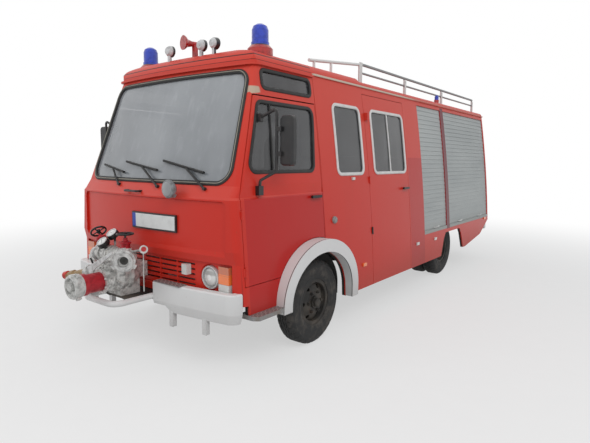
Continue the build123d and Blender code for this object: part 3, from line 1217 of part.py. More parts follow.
def main():
    os.makedirs("parts", exist_ok=True)
    write("chassis_frame", *frame())
    write("front_axle", front_axle())
    write("rear_axle", rear_axle())
    write("tie_rod", tie_rod())
    write("leaf_springs", *leaf_springs())
    write("engine_block", engine())
    write("fuel_tank", *fuel_tank())
    write("cab_shell", cab_shell())
    write("cab_roof", cab_roof())
    write("cab_floor", cab_floor())
    write("body_shell", body_shell())
    write("body_roof", body_roof())
    write("body_floor", body_floor())
    write("gutters", *gutters())
    write("windscreen", windscreen())
    write("side_glass", *side_glass())
    write("shutters", *shutters())
    write("grille", grille())
    write("headlamps", *headlamps())
    write("signal_lamps", *signal_lamps())
    write("front_bumper", *front_bumper())
    write("treads", *treads())
    write("wheel_flares", *flares())
    write("pump_body", pump_body())
    write("pump_pipes", *pump_pipes())
    write("suction_cap", suction_cap())
    write("pump_controls", *pump_controls())
    write("pump_guard", pump_guard())
    write("wipers", *wipers())
    write("searchlight", *searchlight())
    write("beacons", *beacons())
    write("roof_horns", *roof_horns())
    write("roof_rails", *roof_rails())
    write("rear_bumper", *rear_bumper())
    write("seats", *seats())
    write("dashboard", dashboard())
    write("steering_wheel", steering_wheel())

    door = cab_door(cab_hull(WALL, reach=20.0))
    pane = door_glass(cab_hull(GLASS_IN), cab_hull(GLASS_IN + GLASS_T, reach=20.0), DOOR_WINDOW)
    mirror_part = door_mirror()
    crew = crew_door()
    y0, y1, z0, z1 = CREW_WINDOWS[1]
    crew_pane = body_layer(GLASS_IN, GLASS_IN + GLASS_T, y0 - 5, y1 + 5) & window_cut(rect(y0, y1, z0, z1), -SEAT, 700, 1300)
    stub = knuckle()
    for side, index in (("left", 0), ("right", 1)):
        write(f"cab_door_{side}", pair(door)[index])
        write(f"cab_door_glass_{side}", pair(pane)[index])
        write(f"mirror_{side}", pair(mirror_part)[index])
        write(f"crew_door_{side}", pair(crew)[index])
        write(f"crew_door_glass_{side}", pair(crew_pane)[index])
        write(f"knuckle_{side}", pair(stub)[index])
        write(f"tyre_front_{side}", pair(make_tyre(FRONT_WHEEL_X, FRONT_AXLE_Y))[index])
        write(f"rim_front_{side}", pair(front_rim(FRONT_WHEEL_X, FRONT_AXLE_Y))[index])
        write(f"tyres_rear_{side}", pair(make_tyre(TWIN_OUT_X, REAR_AXLE_Y))[index], pair(make_tyre(TWIN_IN_X, REAR_AXLE_Y))[index])
        write(f"rims_rear_{side}", pair(rear_rims(REAR_AXLE_Y))[index])


main()
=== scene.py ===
# %% [markdown]
# A light fire engine: a red crew-cab van body with silver roller shutters, white wheel flares, and a cast
# pump hung in front of the cab. The solid parts arrive as a fixed frame, already in metres and in place.
# Blender's job is everything that the eye reads on top of them: enamel, rubber, chrome, glass, tread, dirt.
# %% Load the fixed frame
import math
import bmesh
import bpy
import numpy as np
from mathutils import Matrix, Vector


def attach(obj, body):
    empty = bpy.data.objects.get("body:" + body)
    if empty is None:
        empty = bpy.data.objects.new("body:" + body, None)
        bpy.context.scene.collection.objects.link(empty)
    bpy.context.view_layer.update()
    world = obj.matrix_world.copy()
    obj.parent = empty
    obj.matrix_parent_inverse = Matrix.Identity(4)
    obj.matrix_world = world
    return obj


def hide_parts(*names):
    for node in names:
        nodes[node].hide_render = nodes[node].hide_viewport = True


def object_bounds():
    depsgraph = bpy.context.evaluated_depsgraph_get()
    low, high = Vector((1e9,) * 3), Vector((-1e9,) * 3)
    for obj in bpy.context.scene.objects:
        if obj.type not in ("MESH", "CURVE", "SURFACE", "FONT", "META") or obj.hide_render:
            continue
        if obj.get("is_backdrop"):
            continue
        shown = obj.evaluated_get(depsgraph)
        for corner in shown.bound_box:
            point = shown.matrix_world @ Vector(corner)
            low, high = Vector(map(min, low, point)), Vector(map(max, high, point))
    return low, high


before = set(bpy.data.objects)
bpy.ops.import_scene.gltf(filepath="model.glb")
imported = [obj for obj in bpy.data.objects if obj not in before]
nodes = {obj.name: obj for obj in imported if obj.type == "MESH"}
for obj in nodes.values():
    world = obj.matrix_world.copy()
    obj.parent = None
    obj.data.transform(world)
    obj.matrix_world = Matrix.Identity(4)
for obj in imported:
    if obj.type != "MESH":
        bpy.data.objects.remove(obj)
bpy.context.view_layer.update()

# %% [markdown]
# The cab and the body are curved sheets, so trim has to be laid on curves too. The side wall is one arc from
# skirt to eave, and the cab's front is a shallow bow in plan that leans back with height. The same few sizes
# that shaped the solids are repeated here in metres, so any piece of trim can ask where the skin is. A
# station is a distance back from the cab's front, and the frame's origin lies at the station MIDDLE.
# %% Where the skin is
MIDDLE, TAIL = 2.700, 6.020
SIDES = ((1, "left"), (-1, "right"))
SIDE_POINTS = ((1.074, 0.336), (1.000, 1.330), (0.866, 2.331))
BOW = 6.290
CAB_HEIGHTS = np.array([0.552, 0.855, 0.950, 1.322, 1.340, 1.420, 1.860, 2.312, 2.331])
CAB_CORNERS = np.array([-0.020, -0.025, -0.050, -0.047, -0.036, 0.015, 0.164, 0.317, 0.324])
CAB_EXTRA = np.array([0.0, 0.0, 0.0, 0.005, -0.005, 0.0, 0.0, 0.0, 0.0])


def circle_through(a, b, c):
    """Centre and radius of the circle through three points, from the two perpendicular bisectors."""
    rows = 2 * np.array([np.subtract(b, a), np.subtract(c, a)])
    sums = np.array([np.dot(b, b) - np.dot(a, a), np.dot(c, c) - np.dot(a, a)])
    centre = np.linalg.solve(rows, sums)
    return centre[0], centre[1], math.dist(centre, a)


SIDE_X, SIDE_Z, SIDE_R = circle_through(*SIDE_POINTS)


def wall_x(z):
    """Half width of the body at a height: the side arc's x at that z."""
    return SIDE_X + np.sqrt(SIDE_R**2 - (np.asarray(z, float) - SIDE_Z) ** 2)


def cab_x(z):
    """Half width of the cab, which is ruled straight between its levels."""
    return np.interp(z, CAB_HEIGHTS, wall_x(CAB_HEIGHTS) + CAB_EXTRA)


def front_y(x, z):
    """Station of the cab's front: the corner's station less the bow's rise towards the middle."""
    corner = np.interp(z, CAB_HEIGHTS, CAB_CORNERS)
    rise = np.sqrt(BOW**2 - np.asarray(x, float) ** 2) - np.sqrt(BOW**2 - wall_x(z) ** 2)
    return corner - rise - MIDDLE


print("wall at belt", round(float(wall_x(1.33)), 3), "front at middle", round(float(front_y(0.0, 1.0)), 3))

# %% [markdown]
# Every new piece is a grid of points worked out with numpy, or a few of them joined. A grid has rows and
# columns, and a direction that runs round on itself joins its last line to its first. Doubles are merged, so
# that poles and seams close, and the normals are turned outwards before the shading is set.
# %% From grids of points to a piece
def unit(vectors):
    """Vectors scaled to length one."""
    vectors = np.asarray(vectors, float)
    return vectors / np.maximum(np.linalg.norm(vectors, axis=-1, keepdims=True), 1e-12)


def quads(rows, columns, round_rows, round_columns):
    """Corner numbers of the four-sided faces between neighbouring points of a grid."""
    r = np.arange(rows if round_rows else rows - 1)[:, None]
    c = np.arange(columns if round_columns else columns - 1)[None, :]
    r2, c2 = (r + 1) % rows, (c + 1) % columns
    corners = [r * columns + c, r2 * columns + c, r2 * columns + c2, r * columns + c2]
    return np.stack(np.broadcast_arrays(*corners), -1).reshape(-1, 4)


def piece(name, grids, finish, body, crease=32.0):
    """One object from (points, round_rows, round_columns) grids, riding on a body."""
    points, faces, start = [], [], 0
    for grid, round_rows, round_columns in grids:
        points.append(grid.reshape(-1, 3))
        faces.append(quads(*grid.shape[:2], round_rows, round_columns) + start)
        start += grid.shape[0] * grid.shape[1]
    mesh = bpy.data.meshes.new(name)
    mesh.from_pydata(np.concatenate(points).tolist(), [], np.concatenate(faces).tolist())
    shell = bmesh.new()
    shell.from_mesh(mesh)
    bmesh.ops.remove_doubles(shell, verts=shell.verts, dist=2e-5)
    bmesh.ops.dissolve_degenerate(shell, edges=shell.edges, dist=1e-6)
    bmesh.ops.recalc_face_normals(shell, faces=shell.faces)
    shell.to_mesh(mesh)
    shell.free()
    mesh.polygons.foreach_set("use_smooth", np.ones(len(mesh.polygons), bool))
    mesh.set_sharp_from_angle(angle=math.radians(crease))
    mesh.materials.append(finish)
    obj = bpy.data.objects.new(name, mesh)
    bpy.context.scene.collection.objects.link(obj)
    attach(obj, body)
    return obj


print("a grid of 4 by 6 points, closed both ways, has", len(quads(4, 6, True, True)), "faces")

# %% [markdown]
# Most small parts of a vehicle are one of a few kinds of shape: turned round an axis, or a section carried
# along a path. An outline with rounded corners serves windows and mirrors, and a slab serves plates.
# %% Shapes that many pieces share
def around(axis, count, phase=0.0):
    """Unit vectors spread evenly round an axis: cosine and sine of an angle times two square to it."""
    along = unit(axis)
    across = unit(np.cross(along, (0.0, 0.0, 1.0) if abs(along[2]) < 0.9 else (1.0, 0.0, 0.0)))
    angle = phase + 2 * np.pi * np.arange(count) / count
    return np.cos(angle)[:, None] * across + np.sin(angle)[:, None] * np.cross(along, across)


def turned(profile, centre, axis, steps=40):
    """Surface of revolution: each (radius, distance) of the profile goes round the axis through centre."""
    radius, distance = np.array(profile, float).T
    ring = radius[:, None, None] * around(axis, steps)
    points = np.asarray(centre) + distance[:, None, None] * unit(axis) + ring
    return points, False, True


def carried(path, section, outward, closed):
    """A section of (sideways, outward) offsets carried along a path; an open run is capped at both ends."""
    path = np.asarray(path, float)
    ahead = np.roll(path, -1, 0) - np.roll(path, 1, 0) if closed else np.gradient(path, axis=0)
    ahead = unit(ahead)
    out = np.broadcast_to(np.asarray(outward, float), path.shape)
    out = unit(out - (out * ahead).sum(1, keepdims=True) * ahead)
    side = np.cross(ahead, out)
    section = np.asarray(section, float)
    grid = path[:, None] + section[None, :, :1] * side[:, None] + section[None, :, 1:] * out[:, None]
    if not closed:
        first = np.repeat(grid[:1].mean(1, keepdims=True), grid.shape[1], 1)
        last = np.repeat(grid[-1:].mean(1, keepdims=True), grid.shape[1], 1)
        grid = np.concatenate([first, grid, last])
    return grid, closed, True


def rounded(corners, radius, gap=0.012):
    """Closed outline with an arc at each corner, its points spread evenly along it."""
    p = np.array(corners, float)
    back, fore = unit(np.roll(p, 1, 0) - p), unit(np.roll(p, -1, 0) - p)
    half = 0.5 * np.arccos(np.clip((back * fore).sum(1), -1, 1))
    centre = p + unit(back + fore) * (radius / np.sin(half))[:, None]
    start = p + back * (radius / np.tan(half))[:, None] - centre
    end = p + fore * (radius / np.tan(half))[:, None] - centre
    first = np.arctan2(start[:, 1], start[:, 0])
    turn = (np.arctan2(end[:, 1], end[:, 0]) - first + np.pi) % (2 * np.pi) - np.pi
    angle = first[:, None] + turn[:, None] * np.linspace(0, 1, 9)
    outline = (centre[:, None] + radius * np.stack([np.cos(angle), np.sin(angle)], -1)).reshape(-1, 2)
    outline = np.concatenate([outline, outline[:1]])
    length = np.concatenate([[0], np.cumsum(np.linalg.norm(np.diff(outline, axis=0), axis=1))])
    place = np.linspace(0, length[-1], int(length[-1] / gap), endpoint=False)
    return np.stack([np.interp(place, length, outline[:, i]) for i in (0, 1)], -1)


def disc_section(radius, steps=12):
    """Round section for bars and beads."""
    angle = 2 * np.pi * np.arange(steps) / steps
    return radius * np.stack([np.cos(angle), np.sin(angle)], -1)


def slab(low, high, bevel=0.002):
    """A block with eased edges, as rows of rounded rectangles from the bottom to the top."""
    low, high = np.array(low, float), np.array(high, float)
    middle, half = (low + high) / 2, (high - low) / 2
    angle = 2 * np.pi * (np.arange(24) + 0.5) / 24
    corner = np.sign(np.stack([np.cos(angle), np.sin(angle)], -1))
    ring = corner * (half[:2] - bevel) + bevel * np.stack([np.cos(angle), np.sin(angle)], -1)
    inset = np.array([1.0, 0.7, 0.0, 0.0, 0.7, 1.0])
    level = np.array([-1.0, -1.0, -1.0, 1.0, 1.0, 1.0]) * (half[2] - np.array([0, 0, 1, 1, 0, 0]) * bevel)
    rows = middle[:2] + ring[None] * (1 - inset[:, None, None] * bevel / half[:2])
    rows[0], rows[-1] = middle[:2], middle[:2]
    grid = np.concatenate([rows, np.broadcast_to(middle[2] + level[:, None, None], (6, 24, 1))], -1)
    return grid, False, True


print("a dozen directions round an axis:", around((0, 0, 1), 12).shape)

# %% [markdown]
# A shader is a small sum done at every point of a surface. Adding its nodes one by one hides the idea, so a
# tiny class lets plain Python arithmetic add the Math nodes, and one method adds every other node.
# %% Arithmetic that adds nodes
class Number:
    """A number that changes over a surface; arithmetic on it adds Math nodes."""

    def __init__(self, finish, socket):
        self.finish, self.socket = finish, socket

    def sum_of(self, operation, first, second):
        return self.finish.number("ShaderNodeMath", {"operation": operation}, {0: first, 1: second})

    def __add__(self, other):
        return self.sum_of("ADD", self, other)

    def __sub__(self, other):
        return self.sum_of("SUBTRACT", self, other)

    def __rsub__(self, other):
        return self.sum_of("SUBTRACT", other, self)

    def __mul__(self, other):
        return self.sum_of("MULTIPLY", self, other)

    def __truediv__(self, other):
        return self.sum_of("DIVIDE", self, other)

    def __mod__(self, other):
        return self.sum_of("FLOORED_MODULO", self, other)

    def __pow__(self, other):
        return self.sum_of("POWER", self, other)

    def __abs__(self):
        return self.sum_of("ABSOLUTE", self, 0.0)

    __radd__, __rmul__ = __add__, __mul__

    def most(self, other):
        return self.sum_of("MAXIMUM", self, other)


print("reflected forms", [name for name in vars(Number) if name.startswith("__r")])

# %% [markdown]
# A Finish is one material while it is wired up. It holds the point's place, adds any node by one method, and
# keeps the few patterns and masks that every finish of this vehicle is made from.
# %% A material being wired up
class Finish:
    """One material being wired up, with the point's place as three Numbers and its upward lean as one."""

    def __init__(self, name, owner=None):
        self.material = owner or bpy.data.materials.new(name)
        self.material.use_nodes = True
        self.tree = self.material.node_tree
        self.tree.nodes.clear()
        coordinates = self.node("ShaderNodeTexCoord")
        self.place = coordinates.outputs["Object"]
        place = self.node("ShaderNodeSeparateXYZ", {}, {0: self.place})
        self.x, self.y, self.z = (Number(self, place.outputs[i]) for i in range(3))
        lean = self.node("ShaderNodeSeparateXYZ", {}, {0: coordinates.outputs["Normal"]})
        self.up = Number(self, lean.outputs[2])

    def node(self, kind, settings=None, sockets=None):
        """Adds a node: first its settings, then the values or links of its sockets."""
        node = self.tree.nodes.new(kind)
        for key, value in (settings or {}).items():
            setattr(node, key, value)
        for key, value in (sockets or {}).items():
            value = value.socket if isinstance(value, Number) else value
            if isinstance(value, bpy.types.NodeSocket):
                self.tree.links.new(value, node.inputs[key])
            else:
                node.inputs[key].default_value = value
        return node

    def number(self, kind, settings, sockets, output=0):
        return Number(self, self.node(kind, settings, sockets).outputs[output])

    def stretched(self, scale):
        return self.node("ShaderNodeMapping", {}, {"Vector": self.place, "Scale": scale}).outputs[0]

    def noise(self, scale, detail=3.0, roughness=0.55, stretch=(1, 1, 1)):
        sockets = {"Vector": self.stretched(stretch), "Scale": scale}
        sockets.update(Detail=detail, Roughness=roughness)
        return self.number("ShaderNodeTexNoise", {}, sockets)

    def cells(self, scale):
        return self.number("ShaderNodeTexVoronoi", {}, {"Vector": self.place, "Scale": scale})

    def step(self, value, low, high):
        """0 below low and 1 above high, smooth between; low above high turns it over."""
        if low > high:
            return 1 - self.step(value, high, low)
        sockets = {0: value, 1: low, 2: high, 3: 0.0, 4: 1.0}
        return self.number("ShaderNodeMapRange", {"interpolation_type": "SMOOTHSTEP"}, sockets)

    def within(self, value, low, high, soft=0.002):
        return self.step(value, low - soft, low + soft) * self.step(value, high + soft, high - soft)

    def near(self, place, radius, soft=0.5):
        """1 inside a ball round a place, fading out over the last part of its radius."""
        far = self.node("ShaderNodeVectorMath", {"operation": "DISTANCE"}, {0: self.place, 1: place})
        return self.step(Number(self, far.outputs["Value"]), radius, radius * (1 - soft))

    def tint(self, first, second, factor):
        """Colour mix by a Number."""
        first, second = (c + (1.0,) if isinstance(c, tuple) else c for c in (first, second))
        sockets = {0: factor, 6: first, 7: second}
        return self.node("ShaderNodeMix", {"data_type": "RGBA"}, sockets).outputs[2]

    def relief(self, height, distance, strength=1.0, under=None):
        sockets = {"Height": height, "Distance": distance, "Strength": strength}
        if under is not None:
            sockets["Normal"] = under
        return self.node("ShaderNodeBump", {}, sockets).outputs[0]

    def done(self, **sockets):
        """Closes the material with a Principled surface; names like base_color become its sockets."""
        named = {key.replace("_", " ").title().replace("Ior", "IOR"): value for key, value in sockets.items()}
        for key in ("Base Color", "Emission Color"):
            if isinstance(named.get(key), tuple):
                named[key] = named[key] + (1.0,)
        shader = self.node("ShaderNodeBsdfPrincipled", {}, named)
        self.node("ShaderNodeOutputMaterial", {}, {"Surface": shader.outputs[0]})
        return self.material


print("a finish offers", [name for name in vars(Finish) if not name.startswith("_")])

# %% [markdown]
# Old enamel isn't one red. It bleaches on the upper panels, keeps its depth low down, picks up road dirt
# along the skirt, and chips to primer. The mask for each of these is a smooth step of height or of noise, and
# the gloss follows the same masks. One function serves all painted metal. Behind the skin, where arch linings
# and the cabin's inside belong to the same solid, the red gives way to painted shade, darkest low down.
# %% Enamel
def wall_line(f):
    """The side wall's half width at a point's height."""
    return (SIDE_R**2 - (f.z - SIDE_Z) ** 2) ** 0.5 + SIDE_X


def wall_gap(f):
    """How far a point stands out of the side wall."""
    return abs(f.x) - wall_line(f)


def behind_skin(f):
    """1 where a point lies more than a finger behind the painted skin, and 0 on it."""
    wall = wall_line(f)
    bow = (wall * wall - f.x * f.x) * (0.5 / BOW)
    lean = f.within(f.z, 1.34, 9.0, 0.01) * 0.051 + f.step(f.z, 1.34, 1.42) * 0.014
    lean = lean + f.step(f.z, 1.42, 1.421) * (f.z - 1.42) * 0.3405
    nose = f.y + MIDDLE + 0.050 - lean + bow
    tail = TAIL - MIDDLE - f.y
    inside = f.step(wall - abs(f.x), 0.010, 0.016) * f.step(nose, 0.036, 0.050) * f.step(tail, 0.010, 0.016)
    return inside * f.step(f.z, 2.36, 2.35)


def enamel(name, colour, faded, chips=0.0, dirt=0.6, gloss=0.3, marks=None, shade_behind_skin=False):
    """Painted metal: bleached above, dirty below, chipped, with marks, and painted shade behind the skin
    where asked.
    """
    f = Finish(name)
    cloud = f.noise(1.3, 4.0)
    grain = f.noise(38.0, 2.0)
    bleach = f.step(f.z + cloud * 0.7, 1.35, 2.75) * 0.8 + f.step(cloud, 0.52, 0.75) * 0.12
    base = f.tint(colour, faded, bleach)
    if marks:
        base = marks(f, base)
    rain = f.noise(2.6, 4.0, 0.6, (1.0, 1.0, 0.22))
    low = f.step(f.z + rain * 0.30, 0.86, 0.40)
    grime = (low * 0.55 + f.step(rain, 0.52, 0.80) * 0.16) * dirt
    base = f.tint(base, (0.13, 0.095, 0.07), grime)
    chip = f.step(f.noise(24.0, 5.0, 0.7), 0.665 - 0.05 * chips, 0.70) * chips
    base = f.tint(base, (0.20, 0.085, 0.045), chip)
    if shade_behind_skin:
        # painted shade: behind the skin, in the arches and the cabin, the red gives way to a dark tone,
        # darker below 0.95 m, with flecks of dust
        hidden = behind_skin(f)
        inside_shade = f.tint((0.012, 0.011, 0.010), (0.055, 0.053, 0.050), f.step(f.z, 0.95, 1.05))
        dusty = f.step(f.noise(5.0, 4.0), 0.45, 0.8) * 0.35
        base = f.tint(base, f.tint(inside_shade, (0.09, 0.07, 0.05), dusty), hidden)
        grime = grime.most(hidden * 0.8)
    peel = f.relief(f.noise(210.0, 1.0), 0.0006, 0.35)
    ding = f.relief(f.noise(2.6, 1.0), 0.02, 0.10, peel)
    rough = gloss + grime * 0.5 + bleach * 0.14 + grain * 0.08 + chip * 0.3
    return f.done(base_color=base, roughness=rough, coat_weight=0.06, coat_roughness=0.14,
                  specular_ior_level=0.32, normal=ding)


WHITE, OLD_WHITE = (0.72, 0.72, 0.715), (0.70, 0.70, 0.68)
GREY, OLD_GREY = (0.22, 0.23, 0.235), (0.30, 0.31, 0.31)
white = enamel("white_enamel", WHITE, OLD_WHITE, chips=0.3, dirt=0.4, gloss=0.36)
grey = enamel("grey_enamel", GREY, OLD_GREY, chips=0.5, dirt=0.4, gloss=0.42)
print("plain paints", white.name, grey.name)

# %% [markdown]
# Some painted pieces carry marks that sit at a known place: panels that were painted again in a deeper red,
# the dark divider between the shutters, black handles, painted shade in the grooves where the roof's sheets
# meet, and a painted highlight on the front ledge. Each mark is a mask from the point's place, laid over the
# paint before its dirt, so the dirt runs over the mark as well.
# %% Marks on the paint
RED, RED_FADED, RED_FRESH = (0.58, 0.022, 0.010), (0.62, 0.062, 0.040), (0.46, 0.008, 0.007)
CREAM, OLD_CREAM = (0.70, 0.62, 0.50), (0.68, 0.60, 0.50)


def red_panels(f, base):
    """Repainted panels, the divider, a painted highlight on the front ledge, handles, a hinge, painted shade
    in two roof grooves, and bare primer.
    """
    y = f.y + MIDDLE
    gap = wall_gap(f)
    on_wall = f.step(abs(f.x), 0.9, 0.95)
    door = f.within(y, 0.05, 1.066) * f.step(f.z, 1.335, 1.325) * on_wall
    strip = f.within(y, 2.895, 3.298) * f.step(f.z, 1.655, 1.65) * on_wall
    divider = f.within(y, 4.082, 4.19) * f.within(f.z, 0.685, 2.335) * f.step(abs(f.x), 0.82, 0.84)
    # painted highlight: upward faces at the front, below 1.6 m, lightened where the ledge catches light
    ledge_highlight = f.step(f.up, 0.25, 0.7) * f.step(y, 0.6, 0.3) * f.step(f.z, 1.6, 1.5)
    base = f.tint(base, (0.66, 0.085, 0.060), ledge_highlight * 0.5)
    base = f.tint(base, RED_FRESH, door.most(strip) * 0.85)
    base = f.tint(base, (0.14, 0.006, 0.018), divider)
    handles = f.within(y, 0.70, 1.03).most(f.within(y, 2.60, 2.86)) * f.step(gap, 0.008, 0.012)
    handles = handles * f.within(f.z, 1.27, 1.335)
    hinge = f.within(y, 1.90, 1.962) * f.within(f.z, 0.850, 0.940) * f.step(gap, 0.001, 0.003)
    base = f.tint(base, (0.014, 0.014, 0.014), handles.most(hinge))
    # painted shade: dark lines in two grooves of the cab's roof, one where the roof cap sits
    groove_shade = f.within(f.z, 2.409, 2.418, 0.001).most(f.within(f.z, 2.3695, 2.3735, 0.001))
    groove_shade = groove_shade * f.step(y, 1.064, 1.062) * f.step(f.up, 0.95, 0.9)
    base = f.tint(base, (0.045, 0.004, 0.003), groove_shade)
    edge = f.noise(18.0, 3.0) * 0.07
    corner = f.near((0.925, 0.262 - MIDDLE, 2.135), 0.100, 0.2)
    primer = corner * f.step(f.z + edge, 2.140, 2.150) * f.step(f.z, 2.17, 2.16)
    return f.tint(base, (0.52, 0.40, 0.30), primer)


def flare_edge_shade(f, base):
    """Painted shade in the crease along the flare's outer edge, between its outer face and its flange."""
    return f.tint(base, (0.03, 0.028, 0.026), f.within(abs(f.x), 1.139, 1.1455, 0.001))


def rail_marks(f, base):
    """White at the front; behind the second post the long tubes are bare and grey."""
    long_run = f.step(f.y + MIDDLE, 2.20, 2.23) * f.step(f.z, 2.617, 2.620).most(f.within(f.z, 2.536, 2.564))
    return f.tint(base, (0.30, 0.31, 0.31), long_run)


def gutter_marks(f, base):
    """Cream over the crew cab, painted red behind it, with the cream kept along the top edge as a painted
    highlight.
    """
    behind = f.step(f.y + MIDDLE + f.noise(3.0) * 0.5, 3.1, 3.7)
    # painted highlight: behind the cab the top edge above 2.364 m stays cream
    return f.tint(base, RED_FADED, behind * f.step(f.z, 2.3645, 2.3635) * 0.85)


red = enamel("red_enamel", RED, RED_FADED, chips=0.2, dirt=0.45, marks=red_panels, shade_behind_skin=True)
grille_red = enamel("grille_enamel", RED, RED_FADED, chips=0.2, dirt=0.7, gloss=0.34)
flare_white = enamel("flare_enamel", WHITE, OLD_WHITE, chips=0.3, dirt=0.5, gloss=0.36, marks=flare_edge_shade)
rail_white = enamel("rail_enamel", WHITE, OLD_WHITE, chips=0.4, dirt=0.3, gloss=0.4, marks=rail_marks)
cream = enamel("cream_strip", CREAM, OLD_CREAM, chips=0.8, dirt=0.35, gloss=0.45, marks=gutter_marks)
print("marked paints", [m.name for m in (red, grille_red, flare_white, rail_white, cream)])

# %% [markdown]
# Bare and blackened metals carry the mechanical look. Pump castings are sand-cast aluminium, pale and pitted,
# darker in random patches, with painted shade in the suction cap's hollow; the shutters are satin extrusions
# with a fine rib; chequer plate has raised lozenges at right angles to their neighbours. Relief comes from
# the same numbers as the colour.
# %% Metals
def steel(name, colour, rust=0.3, rough=0.55, dust=0.4):
    f = Finish(name)
    cloud = f.noise(9.0, 4.0, 0.6)
    pits = f.noise(120.0, 2.0)
    rusty = f.step(cloud, 0.62 - rust * 0.2, 0.74) * rust
    base = f.tint(colour, (0.16, 0.065, 0.03), rusty)
    base = f.tint(base, (0.20, 0.165, 0.13), f.step(f.noise(3.0, 3.0), 0.4, 0.7) * dust)
    rough_map = rough + cloud * 0.2 + rusty * 0.2
    pitted = f.relief(pits + cloud, 0.0015, 0.5)
    return f.done(base_color=base, roughness=rough_map, metallic=0.25, normal=pitted)


def casting(name, colour, dark, metallic=0.75, patchy=0.25):
    f = Finish(name)
    sand = f.noise(170.0, 3.0, 0.7)
    cloud = f.noise(14.0, 4.0, 0.6)
    base = f.tint(colour, dark, f.step(cloud, 0.45, 0.68) * patchy)
    base = f.tint(base, (0.13, 0.085, 0.05), f.step(f.noise(31.0, 4.0, 0.7), 0.62, 0.7) * patchy * 0.6)
    rough = 0.36 + sand * 0.2 + cloud * 0.15
    return f.done(base_color=base, roughness=rough, metallic=metallic, normal=f.relief(sand, 0.0012, 0.6))


def slats():
    """Satin aluminium slats: a faint dark line at each slat's foot, read along z, and dull bands."""
    f = Finish("shutter_slats")
    foot = (f.z - 0.6903) / 0.02778 % 1.0
    line = f.step(abs(foot - 0.5) * 2.0, 0.86, 0.99)
    cloud = f.noise(1.2, 4.0, 0.6, (0.4, 0.4, 2.0))
    brushed = f.noise(30.0, 2.0, 0.5, (0.05, 0.05, 8.0))
    base = f.tint((0.42, 0.445, 0.44), (0.36, 0.385, 0.385), f.step(cloud, 0.35, 0.7))
    base = f.tint(base, (0.22, 0.235, 0.235), line * 0.30)
    base = f.tint(base, (0.24, 0.22, 0.18), f.step(f.z + cloud * 0.2, 0.95, 0.75) * 0.35)
    rough = 0.44 + brushed * 0.12 + cloud * 0.1
    ribs = f.relief(1 - line, 0.0012, 0.5)
    drawn = f.relief(brushed, 0.0005, 0.3, ribs)
    return f.done(base_color=base, roughness=rough, metallic=0.22, normal=drawn)


def chequer():
    """Raised lozenges: two sets of short bars, one along x and one along y, on alternate squares."""
    f = Finish("chequer_plate")
    pitch = 0.032
    u, v = (f.x + f.y) / (pitch * 1.414), (f.x - f.y) / (pitch * 1.414)
    a, b = u % 1.0 - 0.5, v % 1.0 - 0.5
    odd = ((u - (u % 1.0)) + (v - (v % 1.0))) % 2.0
    lie, stand = abs(a * 0.95) ** 2 + abs(b * 3.4) ** 2, abs(b * 0.95) ** 2 + abs(a * 3.4) ** 2
    bar = f.step(lie * (1 - odd) + stand * odd, 0.22, 0.13) * f.step(f.up, 0.3, 0.6)
    muck = f.step(f.noise(16.0, 4.0), 0.4, 0.7)
    base = f.tint((0.27, 0.27, 0.27), (0.56, 0.56, 0.55), bar)
    base = f.tint(base, (0.24, 0.19, 0.15), muck * 0.55 * (1 - bar * 0.7))
    rough = 0.48 - bar * 0.14 + muck * 0.2
    return f.done(base_color=base, roughness=rough, metallic=0.6, normal=f.relief(bar, 0.003, 0.9))


black_steel = steel("blackened_steel", (0.022, 0.021, 0.020), rust=0.35)
iron = steel("cast_iron", (0.075, 0.072, 0.068), rust=0.6, rough=0.6)
bright = casting("bright_alloy", (0.66, 0.66, 0.65), (0.46, 0.45, 0.44), 0.5)
shutter_metal, lozenge = slats(), chequer()
print("metals", [m.name for m in (black_steel, iron, bright, shutter_metal, lozenge)])


# %% [markdown]
# Rubber, moulded plastic, glass and lenses. The panes are dusty, so each is a see-through skin whose alpha
# rises where dust and streaks lie; that also exports as plain alpha. Lenses get their ribs from a repeating
# step along one axis, like the moulded flutes of the real ones.
# %% Rubber, plastic, glass and lenses
def rubber(name, colour=(0.018, 0.018, 0.018), dust=0.35, rough=0.62):
    f = Finish(name)
    bloom = f.step(f.noise(11.0, 4.0, 0.6), 0.45, 0.75) * dust
    base = f.tint(colour, (0.13, 0.115, 0.10), bloom)
    fine = f.noise(260.0, 2.0)
    return f.done(base_color=base, roughness=rough + bloom * 0.25, normal=f.relief(fine, 0.0006, 0.4))


def pane(name, haze, clear, colour, sky):
    """See-through skin: haze is how much more of it dust covers, and sky the pale tone that it mirrors."""
    f = Finish(name)
    streak = f.step(f.noise(5.0, 3.0, 0.6, (2.6, 2.6, 0.25)), 0.48, 0.78)
    cloud = f.noise(1.3, 2.0)
    spots = f.step(f.noise(90.0, 2.0), 0.66, 0.72)
    cover = clear + streak * haze * 0.5 + f.step(cloud, 0.35, 0.7) * haze + spots * 0.08
    base = f.tint(colour, sky, f.step(cloud, 0.35, 0.75) * 0.6 + streak * 0.25)
    rough = 0.06 + streak * 0.12
    return f.done(base_color=base, roughness=rough, alpha=cover, coat_weight=0.6, coat_roughness=0.03)


def lens(name, colour, edge, along=(0.0, 0.0, 1.0), pitch=0.006, glow=0.0):
    """Moulded lens with flutes at a pitch along one direction."""
    f = Finish(name)
    run = f.node("ShaderNodeVectorMath", {"operation": "DOT_PRODUCT"}, {0: f.place, 1: along})
    flute = abs((Number(f, run.outputs["Value"]) / pitch) % 1.0 - 0.5) * 2.0
    base = f.tint(colour, edge, flute * 0.5 + f.noise(30.0, 2.0) * 0.3)
    rough = 0.08 + f.noise(60.0, 2.0) * 0.1
    relief = f.relief(flute, 0.0012, 0.7)
    return f.done(base_color=base, roughness=rough, coat_weight=1.0, coat_roughness=0.03, normal=relief,
                  emission_color=base, emission_strength=glow)


